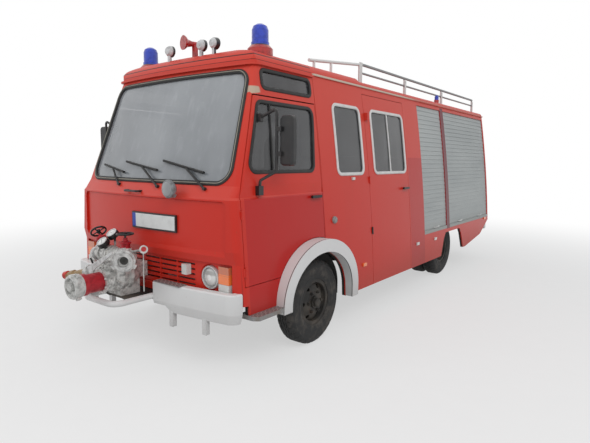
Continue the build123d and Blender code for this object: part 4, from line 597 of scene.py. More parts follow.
seal_rubber = rubber("seal_rubber", dust=0.2)
tyre_rubber = rubber("tyre_rubber", (0.020, 0.020, 0.020), dust=0.55, rough=0.78)
black_plastic = rubber("black_plastic", (0.014, 0.014, 0.015), dust=0.12, rough=0.42)
screen_pane = pane("windscreen_pane", 0.12, 0.60, (0.34, 0.36, 0.38), (0.44, 0.46, 0.48))
side_pane = pane("side_pane", 0.10, 0.62, (0.050, 0.051, 0.055), (0.10, 0.105, 0.11))
clear_lens = lens("clear_lens", (0.62, 0.62, 0.60), (0.85, 0.85, 0.84))
print("soft finishes", [m.name for m in (seal_rubber, tyre_rubber, screen_pane, clear_lens)])

# %% [markdown]
# A few nodes hold two finishes in one solid, such as a beacon's red collar under its blue dome or the pump's
# painted caps, so their colour is split by a height or a place. A patch is a mask and the colour it brings.
# %% Solids in several colours
PUMP_RED, VALVE_BRASS = (0.42, 0.012, 0.022), (0.36, 0.24, 0.12)
COAL, PALE = (0.016, 0.016, 0.016), (0.62, 0.62, 0.61)
LAMP_SPLIT = 0.342


def patched(name, ground, patches, worn=0.55, **sockets):
    """One solid in several colours: each patch is laid over the ground colour, then specks over all."""
    f = Finish(name)
    grime = f.step(f.noise(30.0, 4.0, 0.65), 0.40, 0.70)
    base = f.tint(ground, tuple(v * worn for v in ground), grime)
    for mask, colour in patches(f):
        base = f.tint(base, f.tint(colour, tuple(v * 0.65 for v in colour), grime), mask)
    speck = f.step(f.noise(34.0, 5.0, 0.7), 0.60, 0.68)
    base = f.tint(base, (0.10, 0.075, 0.05), speck * 0.35)
    sand = f.relief(f.noise(150.0, 3.0, 0.7), 0.0010, 0.5)
    return f.done(base_color=base, normal=sand, roughness=0.28 + grime * 0.3, **sockets)


def beacon_patches(f):
    small = f.step(f.y, 1.0, 1.1) * f.step(f.z, 2.4645, 2.4655)
    dome = f.step(f.z, 2.5265, 2.5275).most(small)
    cuff = f.within(f.z, 2.518, 2.527, 0.0005) * f.step(f.y, 1.1, 1.0)
    return (dome, (0.010, 0.045, 0.50)), (cuff, COAL)


def pump_red(f):
    caps = f.near((0.095, -3.030, 0.957), 0.056, 0.05).most(f.near((-0.253, -3.021, 0.949), 0.056, 0.05))
    return ((caps, PUMP_RED),)


def pipe_patches(f):
    stub = f.step(f.y, -3.196, -3.200) * f.step(abs(f.x), 0.10, 0.098)
    # painted shade: the open bore of the outlet is painted near black
    bore_shade = f.near((0.211, -3.127, 0.845), 0.041, 0.05)
    valve = f.step(f.x, -0.38, -0.385) * f.step(f.y, -3.06, -3.065)
    tip = f.step(f.x, -0.583, -0.587)
    lever = f.within(f.x, -0.30, -0.24) * f.step(f.z, 0.752, 0.756) * f.step(f.y, -3.095, -3.098)
    blank = f.within(f.x, -0.33, -0.27) * f.step(f.z, 0.77, 0.78) * f.step(f.y, -3.110, -3.105)
    painted = (stub, PUMP_RED), (valve, VALVE_BRASS), (tip, (0.55, 0.03, 0.02))
    return *painted, (lever, COAL), (blank, PALE), (bore_shade, (0.05, 0.048, 0.045))


def control_patches(f):
    wheels = f.near((0.095, -3.030, 1.033), 0.095, 0.03).most(f.near((-0.316, -3.010, 1.011), 0.085, 0.03))
    dials = f.near((-0.126, -3.0, 1.007), 0.062, 0.03).most(f.near((-0.128, -3.086, 0.948), 0.062, 0.03))
    blade = f.step(f.y, -3.2035, -3.204)
    heart = f.near((0.298, -3.008, 0.933), 0.022, 0.2)
    return (wheels.most(dials), COAL), (blade, PALE), (heart, (0.50, 0.03, 0.03))


def horn_patches(f):
    lamp = f.step(abs(f.x - 0.09), 0.07, 0.08)
    face = lamp * f.step(f.y + MIDDLE, LAMP_SPLIT, LAMP_SPLIT - 0.002)
    return (lamp, (0.020, 0.020, 0.020)), (face, (0.60, 0.60, 0.60))


def bare_patches(f):
    # painted shade in the hollow at the middle of the suction cap's face
    hollow_shade = f.near((0.0, -3.365, 0.672), 0.058, 0.3) * 0.5
    return ((hollow_shade, (0.20, 0.195, 0.18)),)


def tank_patches(f):
    return ((f.near((1.035, 1.221 - MIDDLE, 1.073), 0.075, 0.05), (0.30, 0.30, 0.29)),)


def light_patches(f):
    return ((f.step(f.x, 0.20, 0.18), COAL),)


beacon = patched("beacon", (0.46, 0.014, 0.012), beacon_patches, coat_weight=0.6)
alloy_red = patched("pump_casting", (0.62, 0.61, 0.585), pump_red, 0.42, metallic=0.3)
coupling_alloy = patched("coupling_alloy", (0.56, 0.56, 0.54), bare_patches, 0.6, metallic=0.3)
pipe_paint = patched("pump_pipes", (0.58, 0.575, 0.56), pipe_patches, 0.5, metallic=0.25)
control_paint = patched("pump_controls", (0.56, 0.56, 0.54), control_patches, metallic=0.2)
tank_paint = patched("fuel_tank", (0.022, 0.021, 0.020), tank_patches)
light_paint = patched("searchlight", (0.24, 0.25, 0.255), light_patches)
horn_paint = patched("roof_horns", (0.46, 0.012, 0.012), horn_patches, coat_weight=0.5)
print("split finishes", [m.name for m in (beacon, alloy_red, pipe_paint, control_paint, horn_paint)])

# %% [markdown]
# The signal lamps are one solid too: orange blocks beside the headlamps, small orange and clear lamps on the
# flanks, red and orange blocks at the rear. The lens is clear where no mask says otherwise, fine flutes run
# across it, and a little emission, a painted glow, stands for light thrown back by the reflector behind.
# %% Signal lamps
def signal_lamps():
    """Clear lens, orange, faded or red by station and height, with dark joints between the blocks."""
    f = Finish("signal_lamps")
    y = f.y + MIDDLE
    front_block = f.step(y, 0.2, 0.1) * f.step(abs(f.x), 0.80, 0.81)
    low = f.step(f.z, 0.70, 0.69)
    markers = (f.within(y, 1.6, 1.9) * low).most(f.within(y, 5.7, 5.9) * low)
    orange = (front_block * f.step(f.z, 0.699, 0.701)).most(markers)
    tail = f.step(y, 6.0, 6.01)
    flutes = abs((f.z / 0.007) % 1.0 - 0.5) * 2.0
    joints = (abs((f.z - 0.636) / 0.0653 % 1.0 - 0.5) * 2.0 - 0.93).most(0) * front_block * 8
    base = f.tint((0.60, 0.60, 0.58), (0.90, 0.17, 0.004), orange)
    base = f.tint(base, (0.45, 0.11, 0.05), front_block * f.step(f.z, 0.775, 0.777) * 0.75)
    base = f.tint(base, (0.030, 0.028, 0.026), joints)
    base = f.tint(base, (0.42, 0.010, 0.012), tail)
    base = f.tint(base, (0.85, 0.17, 0.004), tail * f.step(f.z, 0.88, 0.882))
    base = f.tint(base, (0.60, 0.60, 0.58), tail * f.step(f.z, 0.762, 0.760))
    base = f.tint(base, (0.2, 0.18, 0.16), f.noise(24.0, 3.0) * 0.35)
    # the emission is a painted glow: the reflector's light on lamps that are off
    return f.done(base_color=base, roughness=0.10 + f.noise(50.0, 2.0) * 0.12, coat_weight=1.0,
                  normal=f.relief(flutes, 0.001, 0.6), emission_color=base, emission_strength=0.12)


lamp_set = signal_lamps()
print("lamps", lamp_set.name)

# %% [markdown]
# Each solid node takes the finish of its real counterpart. The table reads finish first, because one finish
# serves many nodes. A name that ends in a star stands for the left piece and the right one.
# %% Finishes on the solid parts
FINISHES = {
    red: "cab_shell cab_door_* crew_door_* body_shell cab_roof body_roof",
    grille_red: "grille",
    white: "front_bumper pump_guard rear_bumper",
    flare_white: "wheel_flares",
    rail_white: "roof_rails",
    cream: "gutters",
    grey: "cab_floor body_floor engine_block",
    light_paint: "searchlight",
    tank_paint: "fuel_tank",
    black_steel: "chassis_frame rear_axle leaf_springs rim_front_* rims_rear_*",
    iron: "front_axle tie_rod knuckle_*",
    alloy_red: "pump_body",
    coupling_alloy: "suction_cap",
    pipe_paint: "pump_pipes",
    control_paint: "pump_controls",
    horn_paint: "roof_horns",
    shutter_metal: "shutters",
    lozenge: "treads",
    screen_pane: "windscreen",
    side_pane: "side_glass cab_door_glass_* crew_door_glass_*",
    black_plastic: "wipers mirror_* dashboard steering_wheel seats",
    clear_lens: "headlamps",
    lamp_set: "signal_lamps",
    beacon: "beacons",
    tyre_rubber: "tyre_front_* tyres_rear_*",
}
bare = sorted(nodes)
for material, names in FINISHES.items():
    for name in sorted({name.replace("*", word) for name in names.split() for _, word in SIDES}):
        nodes[name].data.materials.clear()
        nodes[name].data.materials.append(material)
        bare.remove(name)
print("nodes without a finish:", bare)

# %% [markdown]
# Window rubbers and frames. A pane sits in a rubber moulding that laps over the body's edge, and the crew
# windows have pale alloy frames. Each is one section carried round the window's outline on the curved skin,
# so it is the skin's shape that bends the frame, not a flat ring laid near it.
# %% Window rubbers and frames
HALF_LIP = [(-0.013, -0.004), (-0.013, 0.004), (-0.007, 0.009)]
LIP = np.array(HALF_LIP + [(-x, z) for x, z in HALF_LIP[::-1]])


def on_side(outline, skin, side):
    """Outline of (station, height) points laid on a wall, and the directions away from the wall."""
    z = outline[:, 1]
    x = skin(z)
    lean = (skin(z + 0.01) - skin(z - 0.01)) / 0.02
    points = np.stack([side * x, outline[:, 0] - MIDDLE, z], -1)
    return points, np.stack([np.full_like(x, side), np.zeros_like(x), -lean], -1)


def on_front(outline):
    """The same for (x, height) points on the cab's bowed front."""
    x, z = outline.T
    y = front_y(x, z)
    slope_z = (front_y(x, z + 0.01) - front_y(x, z - 0.01)) / 0.02
    slope_x = (front_y(x + 0.01, z) - front_y(x - 0.01, z)) / 0.02
    return np.stack([x, y, z], -1), np.stack([slope_x, -np.ones_like(x), slope_z], -1)


filler = rubber("filler_strip", (0.33, 0.31, 0.25), dust=0.5, rough=0.5)
SCREEN = rounded([(-0.900, 1.436), (0.900, 1.436), (0.825, 2.285), (-0.825, 2.285)], 0.11)
points, away = on_front(SCREEN)
piece("windscreen_rubber", [carried(points, LIP * 1.35, away, True)], seal_rubber, "chassis")
raised = points + unit(away) * 0.0115
bead = carried(raised, disc_section(0.0034, 8), away, True)
piece("windscreen_filler", [bead], filler, "chassis")

DOOR_WINDOW = [(0.126, 1.520), (0.955, 1.520), (1.012, 2.053), (0.300, 2.053)]
TOP_WINDOW = [(0.375, 2.159), (1.015, 2.159), (1.010, 2.300), (0.375, 2.300)]
CREW_WINDOWS = ([(1.341, 1.484), (1.824, 1.484), (1.824, 2.130), (1.341, 2.130)],
                [(2.056, 1.484), (2.816, 1.484), (2.816, 2.130), (2.056, 2.130)])
for side, word in SIDES:
    black, silver = (1.1, seal_rubber, "black_plastic"), (1.2, bright, "silver_slats")
    rims = (("door_rubber", DOOR_WINDOW, 0.06, cab_x, "cab_door_" + word, *black),
            ("top_rubber", TOP_WINDOW, 0.04, cab_x, "chassis", *black),
            ("crew_frame_front", CREW_WINDOWS[0], 0.06, wall_x, "chassis", *silver),
            ("crew_frame_rear", CREW_WINDOWS[1], 0.06, wall_x, "crew_door_" + word, *silver))
    for label, corners, radius, skin, body, size, finish, slot in rims:
        points, away = on_side(rounded(corners, radius), skin, side)
        piece(f"{label}_{word}", [carried(points, LIP * size, away, True)], finish, body)
    bars = (("slider_bar", [(2.436, z) for z in np.linspace(1.49, 2.124, 8)], wall_x, (0.7, 0.9), bright,
             "crew_door_" + word, "silver_slats"),
            ("quarterlight_bar", [(0.441, 2.048), (0.431, 1.9), (0.421, 1.75), (0.408, 1.526)], cab_x,
             (0.6, 0.9), seal_rubber, "cab_door_" + word, "black_plastic"))
    for label, line, skin, size, finish, body, slot in bars:
        points, away = on_side(np.array(line), lambda z: skin(z) - 0.004, side)
        piece(f"{label}_{word}", [carried(points, LIP * size, away, False)], finish, body)
print("window trim laid", len(SCREEN), "points round the windscreen")

# %% [markdown]
# Truck tyres show a bold zigzag tread and a lettering-free sidewall with moulded rings. The tyre is one grid:
# its section goes round the axle, and the radius drops in the grooves, whose line sways to and fro with the
# angle. The solid tyre stays in the physics, and this surface stands for it in the picture.
# %% Tyres
TYRE_R, TYRE_W, RIM_R = 0.3725, 0.180, 0.203
HALF = TYRE_W / 2
CARCASS = np.array([
    (RIM_R + 0.002, HALF - 0.024), (RIM_R + 0.004, HALF - 0.016), (RIM_R + 0.012, HALF - 0.012),
    (RIM_R + 0.020, HALF - 0.010), (0.240, HALF - 0.004), (0.246, HALF - 0.001), (0.252, HALF - 0.003),
    (0.275, HALF), (0.300, HALF), (0.318, HALF - 0.002), (0.322, HALF + 0.0005), (0.330, HALF - 0.001),
    (0.340, HALF - 0.007), (0.352, HALF - 0.014), (0.360, HALF - 0.020), (0.366, HALF - 0.030),
    (TYRE_R - 0.001, HALF - 0.036)])


def tyre(x, y, steps=216):
    """Radius at (place across, angle): the section's radius less the zigzag and shoulder grooves' depth."""
    across = np.linspace(HALF - 0.038, -(HALF - 0.038), 37)
    side = CARCASS[:, 1]
    radius = np.concatenate([CARCASS[:, 0], TYRE_R - 0.003 * (across / HALF) ** 2, CARCASS[::-1, 0]])
    place = np.concatenate([side, across, -side[::-1]])
    angle = 2 * np.pi * np.arange(steps) / steps
    zigzag = np.abs((angle * 36 / np.pi) % 2 - 1)
    sway = 0.006 * (2 * zigzag - 1)
    depth = np.zeros((len(place), steps))
    for middle in (-0.027, 0.0, 0.027):
        depth = np.maximum(depth, 0.009 * (np.abs(place[:, None] - middle - sway[None]) < 0.0032))
    shoulder = (np.abs(place) > 0.040) & (radius > 0.350)
    depth = np.maximum(depth, 0.008 * (shoulder[:, None] & (zigzag < 0.28)[None]))
    r = radius[:, None] - depth
    sideways = x + np.broadcast_to(place[:, None], r.shape)
    return np.stack([sideways, y + r * np.cos(angle), TYRE_R + r * np.sin(angle)], -1), False, True


FRONT_Y, REAR_Y = 0.920 - MIDDLE, 4.240 - MIDDLE
for side, word in SIDES:
    front, rear = [tyre(side * 0.960, FRONT_Y)], [tyre(side * 0.850, REAR_Y), tyre(side * 0.636, REAR_Y)]
    obj = piece(f"front_tread_{word}", front, tyre_rubber, "front_wheel_" + word, 28)
    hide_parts("tyre_front_" + word)
    obj = piece(f"rear_tread_{word}", rear, tyre_rubber, "rear_wheels_" + word, 28)
    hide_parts("tyres_rear_" + word)
print("tyres", len(obj.data.polygons), "faces in a rear pair")


# %% [markdown]
# Wheel nuts and hub bolts: many small hexagons. One nut is a short turned grid with six sides, and a ring of
# nuts is that grid moved to each place of a table.
# %% Nuts and bolts
def nuts(places, axis, radius, height, sides=6):
    """Hexagon nuts: the same small turned shape moved to every place, each with a domed stud end."""
    profile = [(0, height * 1.35), (radius * 0.45, height * 1.3), (radius * 0.5, height)]
    profile += [(radius * 0.9, height), (radius, height * 0.85), (radius, 0)]
    grid, _, _ = turned(profile, (0, 0, 0), axis, sides)
    return [(grid + place, False, True) for place in places]


def ring_of(count, radius, centre, axis, phase=0.0):
    """Places evenly round a circle."""
    return np.asarray(centre) + radius * around(axis, count, phase)


FRONT_CAP = [(0, 0.034), (0.030, 0.032), (0.038, 0.024), (0.040, 0.0), (0.0, 0.0)]
REAR_CAP = [(0, 0.020), (0.040, 0.018), (0.048, 0.008), (0.050, 0.0), (0.0, 0.0)]
NUT_RING = 0.0925
for side, word in SIDES:
    out = np.array((side, 0.0, 0.0))
    grids = nuts(ring_of(6, NUT_RING, (side * 1.022, FRONT_Y, TYRE_R), out), out, 0.0135, 0.020)
    grids += nuts(ring_of(8, 0.063, (side * 1.010, FRONT_Y, TYRE_R), out, 0.2), out, 0.0075, 0.010)
    grids.append(turned(FRONT_CAP, (side * 1.038, FRONT_Y, TYRE_R), out, 32))
    piece(f"front_nuts_{word}", grids, black_steel, "front_wheel_" + word)
    grids = nuts(ring_of(6, NUT_RING, (side * 0.788, REAR_Y, TYRE_R), out), out, 0.0135, 0.022)
    grids.append(turned(REAR_CAP, (side * 0.858, REAR_Y, TYRE_R), out, 32))
    piece(f"rear_nuts_{word}", grids, black_steel, "rear_wheels_" + word)
print("nuts and caps on a rear wheel", len(grids))

# %% [markdown]
# Headlamps: a chromed ring, and a fluted lens in front of a bowl that throws the light back. The ring is a
# turned section and the lens a shallow dome. The bowl is only ever seen through the flutes, so its reflection
# and shade are painted into the lens's own finish. The searchlight's glass is a smaller dome of the same
# kind.
# %% Headlamps
LAMP_X, LAMP_Z = 0.750, 0.735
RING = [(0.074, 0.010), (0.078, 0.000), (0.086, 0.000), (0.091, 0.012), (0.092, 0.034), (0.086, 0.040),
        (0.076, 0.024), (0.074, 0.010)]
DOME_R = 0.0765
DOME = [(r, -0.006 + 0.018 * (r / DOME_R) ** 2) for r in np.linspace(0, DOME_R, 12)]
SEARCH_DOME = [(0, -0.013), (0.035, -0.011), (0.052, -0.006), (0.058, 0.001), (0.058, 0.004), (0, 0.004)]
SEARCH_X, SEARCH_Z = 0.428, 1.388


def lamp_face():
    """The bowl seen through the glass: a painted highlight in the middle, painted shade round the rim and
    under the top edge, crossed by the flutes.
    """
    f = Finish("lamp_face")
    flute = abs((f.x / 0.007) % 1.0 - 0.5) * 2.0
    height = f.z - LAMP_Z
    across = abs(f.x) - LAMP_X
    far = (height * height + across * across) ** 0.5
    # painted shade: a dark ring at the rim and a band under the top edge
    dark = f.step(far, 0.050, 0.072).most(f.within(height, 0.018, 0.050, 0.008) * 0.8)
    base = f.tint((0.74, 0.74, 0.72), (0.15, 0.15, 0.14), dark * 0.8)
    base = f.tint(base, (0.40, 0.40, 0.38), flute * 0.35)
    # painted highlight: a bright spot in the middle of the bowl
    base = f.tint(base, (0.86, 0.86, 0.84), f.step(far, 0.026, 0.016))
    return f.done(base_color=base, roughness=0.08 + flute * 0.1, metallic=0.15, coat_weight=1.0,
                  coat_roughness=0.03, normal=f.relief(flute, 0.0012, 0.6))


chrome = casting("chrome", (0.66, 0.66, 0.66), (0.50, 0.50, 0.50), 0.8)
lamp_glass = lamp_face()
for side, word in SIDES:
    place = np.array((side * LAMP_X, float(front_y(LAMP_X, LAMP_Z)) + 0.008, LAMP_Z))
    grids = [turned(RING, place, (0, 1, 0), 64)]
    piece(f"headlamp_ring_{word}", grids, chrome, "chassis")
    grids = [turned(DOME + [(DOME_R, 0.030), (0.0, 0.030)], place, (0, 1, 0), 64)]
    obj = piece(f"headlamp_lens_{word}", grids, lamp_glass, "chassis")
    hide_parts("headlamps")
search_y = float(front_y(SEARCH_X, 1.360)) - 0.092
search_glass = lens("search_glass", (0.16, 0.17, 0.175), (0.30, 0.31, 0.32), (1.0, 0.0, 0.0), 0.008)
grids = [turned(SEARCH_DOME, (SEARCH_X, search_y, SEARCH_Z), (0, 1, 0), 48)]
piece("searchlight_glass", grids, search_glass, "chassis")
print("headlamps at height", LAMP_Z, "lens faces", len(obj.data.polygons))

# %% [markdown]
# The number plate's holder is a black moulding with a reflective sheet let into it. The sheet is left blank,
# with only the blue band at its left end. It bends with the bowed front.
# %% Plate holder
def front_panel(x0, x1, z0, z1, lift, thick, steps=24):
    """A thin plate that follows the bowed front: a closed section carried along x."""
    x = np.linspace(x0, x1, steps)
    middle = (z0 + z1) / 2
    path = np.stack([x, front_y(x, middle) - lift, np.full_like(x, middle)], -1)
    h, e = (z1 - z0) / 2, 0.003
    section = [(-h, -thick), (-h, -e), (-h + e, 0), (h - e, 0), (h, -e), (h, -thick)]
    slope_x = (front_y(x + 0.01, middle) - front_y(x - 0.01, middle)) / 0.02
    return carried(path, section, np.stack([slope_x, -np.ones_like(x), np.zeros_like(x)], -1), False)


plate_white = rubber("plate_sheet", (0.70, 0.71, 0.70), dust=0.15, rough=0.35)
plate_blue = rubber("plate_band", (0.010, 0.045, 0.36), dust=0.1, rough=0.35)
holder = front_panel(-0.098, 0.442, 1.048, 1.184, 0.001, 0.023)
piece("plate_holder", [holder], black_plastic, "chassis")
sheet = front_panel(-0.043, 0.432, 1.061, 1.173, 0.0035, 0.004)
piece("plate_sheet", [sheet], plate_white, "chassis")
band = front_panel(-0.088, -0.043, 1.061, 1.173, 0.0035, 0.004, 4)
piece("plate_band", [band], plate_blue, "chassis")
print("plate holder", holder[0].shape)

# %% [markdown]
# Wheel arches. Behind each white front flare a dark liner keeps the mud off the floor: a strip bent over the
# wheel along half an ellipse, with a flat cheek on its inner side. Two points below its rear end make a
# straight leg.
# %% Arch liners
ARCH_Y, ARCH_Z, ARCH_LONG, ARCH_HIGH = 0.910 - MIDDLE, 0.450, 0.455, 0.375
LINER = [(-0.19, -0.003), (-0.19, 0), (0.19, 0), (0.19, -0.003)]
sweep = np.linspace(0, np.pi, 41)
arch = np.stack([0 * sweep, ARCH_Y + ARCH_LONG * np.cos(sweep), ARCH_Z + ARCH_HIGH * np.sin(sweep)], -1)
arch = np.concatenate([arch[:1] - (0, 0, 0.10), arch[:1] - (0, 0, 0.05), arch])
chord = arch * (1, 1, 0) + (0, 0, ARCH_Z + 0.0001)
chord[:2, 2] = arch[:2, 2] - 0.0001
for side, word in SIDES:
    path = arch + (side * 0.795, 0, 0)
    outward = path - (side * 0.795, ARCH_Y, ARCH_Z)
    strip = carried(path, LINER, outward, False)
    piece(f"arch_liner_{word}", [strip], tyre_rubber, "chassis")
    outer, inner = (side * 0.604, 0, 0), (side * 0.601, 0, 0)
    cheek = np.stack([chord + outer, arch + outer, arch + inner, chord + inner])
    piece(f"arch_cheek_{word}", [(cheek, True, False)], tyre_rubber, "chassis")
print("arch liner", strip[0].shape)

# %% [markdown]
# Mirrors and wipers. The mirror glass is a thin rounded sheet on the rear of its housing. The wiper blades
# are folded strips that lie along the screen, and each is held by a flat arm from a pivot under the screen.
# %% Mirror glass and wipers
MIRROR = rounded([(1.137, 1.580), (1.241, 1.580), (1.241, 1.925), (1.137, 1.925)], 0.018, 0.006)
mirror_metal = casting("mirror_glass", (0.50, 0.52, 0.55), (0.40, 0.42, 0.45), 0.95)
for side, word in SIDES:
    edge = np.stack([side * MIRROR[:, 0], np.full(len(MIRROR), 0.3456 - MIDDLE), MIRROR[:, 1]], -1)
    middle = np.broadcast_to(edge.mean(0), edge.shape)
    sheet = np.stack([middle, edge, edge + (0, 0.0025, 0), middle + (0, 0.0030, 0)])
    piece(f"mirror_glass_{word}", [(sheet, False, True)], mirror_metal, "cab_door_" + word)

BLADES = (((-0.700, 1.555), (-0.330, 1.495)), ((-0.330, 1.585), (0.130, 1.520)),
          ((0.180, 1.596), (0.650, 1.510)))
ARMS = ((-0.350, (-0.515, 1.525)), (0.190, (-0.070, 1.548)), (0.700, (0.470, 1.543)))
BLADE = [(-0.006, -0.010), (-0.009, 0.002), (-0.004, 0.012), (0.004, 0.012), (0.009, 0.002), (0.006, -0.010)]
ARM = [(-0.009, -0.004), (-0.007, 0.004), (0.007, 0.004), (0.009, -0.004)]
blades = []
for heel, tip in BLADES:
    points, away = on_front(np.linspace(heel, tip, 9))
    blades.append(carried(points + unit(away) * 0.012, BLADE, away, False))
for pivot, joint in ARMS:
    u = np.linspace(0, 1, 9)
    points, away = on_front(np.linspace((pivot, 1.399), joint, 9))
    points[:, 1] = np.interp(u, [0, 1], [front_y(pivot, 1.400) - 0.022, front_y(*joint) - 0.025])
    blades.append(carried(points, ARM, away, False))
piece("wiper_blades", blades, seal_rubber, "chassis")
print("wiper blades and arms", len(blades))

# %% [markdown]
# The pump's small parts: dials on the two tilted gauges, bolts round its cover and its neck. A dial is a
# white disc with a ring of short marks and a needle, and the marks are a repeating step of the angle round
# its centre. A bolt is one short turned grid, moved to each place of a ring.
# %% Gauges and bolts of the pump
def dial(name, centre, needle):
    """White dial: marks where the angle's repeat is near a half and the distance lies in a ring."""
    f = Finish(name)
    across = f.x - centre[0]
    along = (f.y - centre[1]) * 0.78 + (f.z - centre[2]) * 0.62
    far = (across * across + along * along) ** 0.5
    angle = f.number("ShaderNodeMath", {"operation": "ARCTAN2"}, {0: across, 1: along})
    mark = f.step(abs(angle * (30 / math.pi) % 1.0 - 0.5), 0.38, 0.44) * f.within(far, 0.030, 0.037, 0.0008)
    beside = abs(across * math.cos(needle) - along * math.sin(needle))
    hand = f.step(beside, 0.0018, 0.0010) * f.step(far, 0.031, 0.030)
    hub = f.step(far, 0.0055, 0.0045)
    base = f.tint((0.72, 0.72, 0.70), (0.03, 0.03, 0.03), mark.most(hand).most(hub))
    base = f.tint(base, (0.40, 0.36, 0.28), f.step(f.noise(60.0, 3.0), 0.5, 0.8) * 0.3)
    rough = 0.14 + f.noise(90.0, 2.0) * 0.1
    return f.done(base_color=base, roughness=rough, coat_weight=0.8, coat_roughness=0.04)


UP = np.array((0.0, -0.62, 0.78)) / math.hypot(0.62, 0.78)
FRONT = np.array((0, -1, 0))
GAUGES = (("pressure", (-0.126, -3.000, 1.007), 0.7), ("suction", (-0.128, -3.086, 0.948), -0.9))
GLASS = [(0, 0.0025), (0.025, 0.0022), (0.037, 0.0010), (0.0385, 0.0), (0, 0.0)]
BEZEL = [(0.0385, 0.0), (0.039, 0.004), (0.043, 0.005), (0.0455, 0.001), (0.0455, 0.0), (0.0385, 0.0)]
for name, place, needle in GAUGES:
    face = np.array(place) + UP * 0.0143
    white_face = dial(name + "_dial", face, needle)
    piece(name + "_dial", [turned(GLASS, face, UP, 48)], white_face, "chassis")
    piece(name + "_bezel", [turned(BEZEL, face, UP, 48)], chrome, "chassis")
bolts = nuts(ring_of(8, 0.101, (0.0, -3.1205, 0.720), FRONT), FRONT, 0.0085, 0.008)
bolts += nuts(ring_of(8, 0.0875, (0.0, -3.2003, 0.672), FRONT, 0.39), FRONT, 0.0080, 0.008)
piece("pump_bolts", bolts, bright, "chassis")
print("gauges", len(GAUGES), "bolts", len(bolts))

# %% [markdown]
# Trim of the body: flat plates on the roof-rail posts, pull handles and locks at the foot of the shutters,
# and a blank plate at the rear. The handles are round bars that dip towards the slats at both ends.
# %% Body trim
PULLS = (3.69, 4.62, 5.56)
POSTS = ((2.175, 0.060, 2.655), (3.300, 0.040, 2.610), (4.550, 0.040, 2.610), (5.955, 0.036, 2.610))
POST_X, POST_FOOT, PULL_Z = 0.716, 2.436, 0.752
LOCK = [(0, 0.010), (0.010, 0.009), (0.012, 0.006), (0.013, 0)]
foot_x = float(wall_x(PULL_Z)) - 0.010
for side, word in SIDES:
    x, grids = side * POST_X, []
    for y, width, top in POSTS:
        low = (x - 0.004, y - MIDDLE - width / 2, POST_FOOT)
        grids.append(slab(low, (x + 0.004, y - MIDDLE + width / 2, top), 0.0015))
    piece(f"rail_plates_{word}", grids, white, "chassis")
    grids = []
    for y in PULLS:
        u = np.linspace(-1, 1, 17)
        out = foot_x + 0.026 * np.minimum(1, 4 * (1 - np.abs(u))) ** 0.6 - 0.003
        path = np.stack([side * out, y - MIDDLE + 0.065 * u, np.full(17, PULL_Z)], -1)
        grids.append(carried(path, disc_section(0.006, 10), (0, 0, 1), False))
        place = (side * (foot_x - 0.001), y - MIDDLE + 0.11, PULL_Z)
        grids.append(turned(LOCK, place, (side, 0, 0), 24))
    piece(f"shutter_pulls_{word}", grids, bright, "chassis")
rear = TAIL + 0.100 - MIDDLE
holder = slab((-0.90, rear + 0.0005, 0.474), (-0.36, rear + 0.010, 0.586))
piece("rear_plate_holder", [holder], black_plastic, "chassis")
sheet = slab((-0.89, rear + 0.0105, 0.480), (-0.37, rear + 0.012, 0.580), 0.0005)
piece("rear_plate_sheet", [sheet], plate_white, "chassis")
print("body trim laid, pulls and locks on a side", len(grids))

# %% [markdown]
# Seats. Each front seat has a cushion and a back, and the crew sits on one bench. A cushion is a crowned
# closed form, and it starts as a grid on a ball, pushed out to a block's sides by a power, so the corners
# stay soft. The vinyl is nearly black, grained, and paler where it is worn.
# %% Form and vinyl of a seat
def vinyl():
    f = Finish("seat_vinyl")
    grain = f.cells(320.0)
    worn = f.step(f.noise(5.0, 4.0), 0.45, 0.75)
    base = f.tint((0.030, 0.030, 0.032), (0.085, 0.080, 0.075), worn)
    return f.done(base_color=base, roughness=0.42 + worn * 0.2, normal=f.relief(grain, 0.0008, 0.5))


def cushion(low, high, power=0.32, rows=28, columns=56):
    """Superquadric: signed powers of a ball's coordinates make a full, flat-sided form with soft edges."""
    low, high = np.array(low), np.array(high)
    v = np.linspace(-np.pi / 2, np.pi / 2, rows)[:, None]
    u = (2 * np.pi * np.arange(columns) / columns)[None]

    def soft(value):
        return np.sign(value) * np.abs(value) ** power

    flat = soft(np.cos(v))
    ball = np.stack(np.broadcast_arrays(flat * soft(np.cos(u)), flat * soft(np.sin(u)), soft(np.sin(v))), -1)
    pleat = 1 + 0.012 * np.cos(6 * np.pi * ball[..., :1])
    return (low + high) / 2 + ball * pleat * (high - low) / 2, False, True


print("a cushion's grid", cushion((-1.0, -1.0, -1.0), (1.0, 1.0, 1.0))[0].shape)

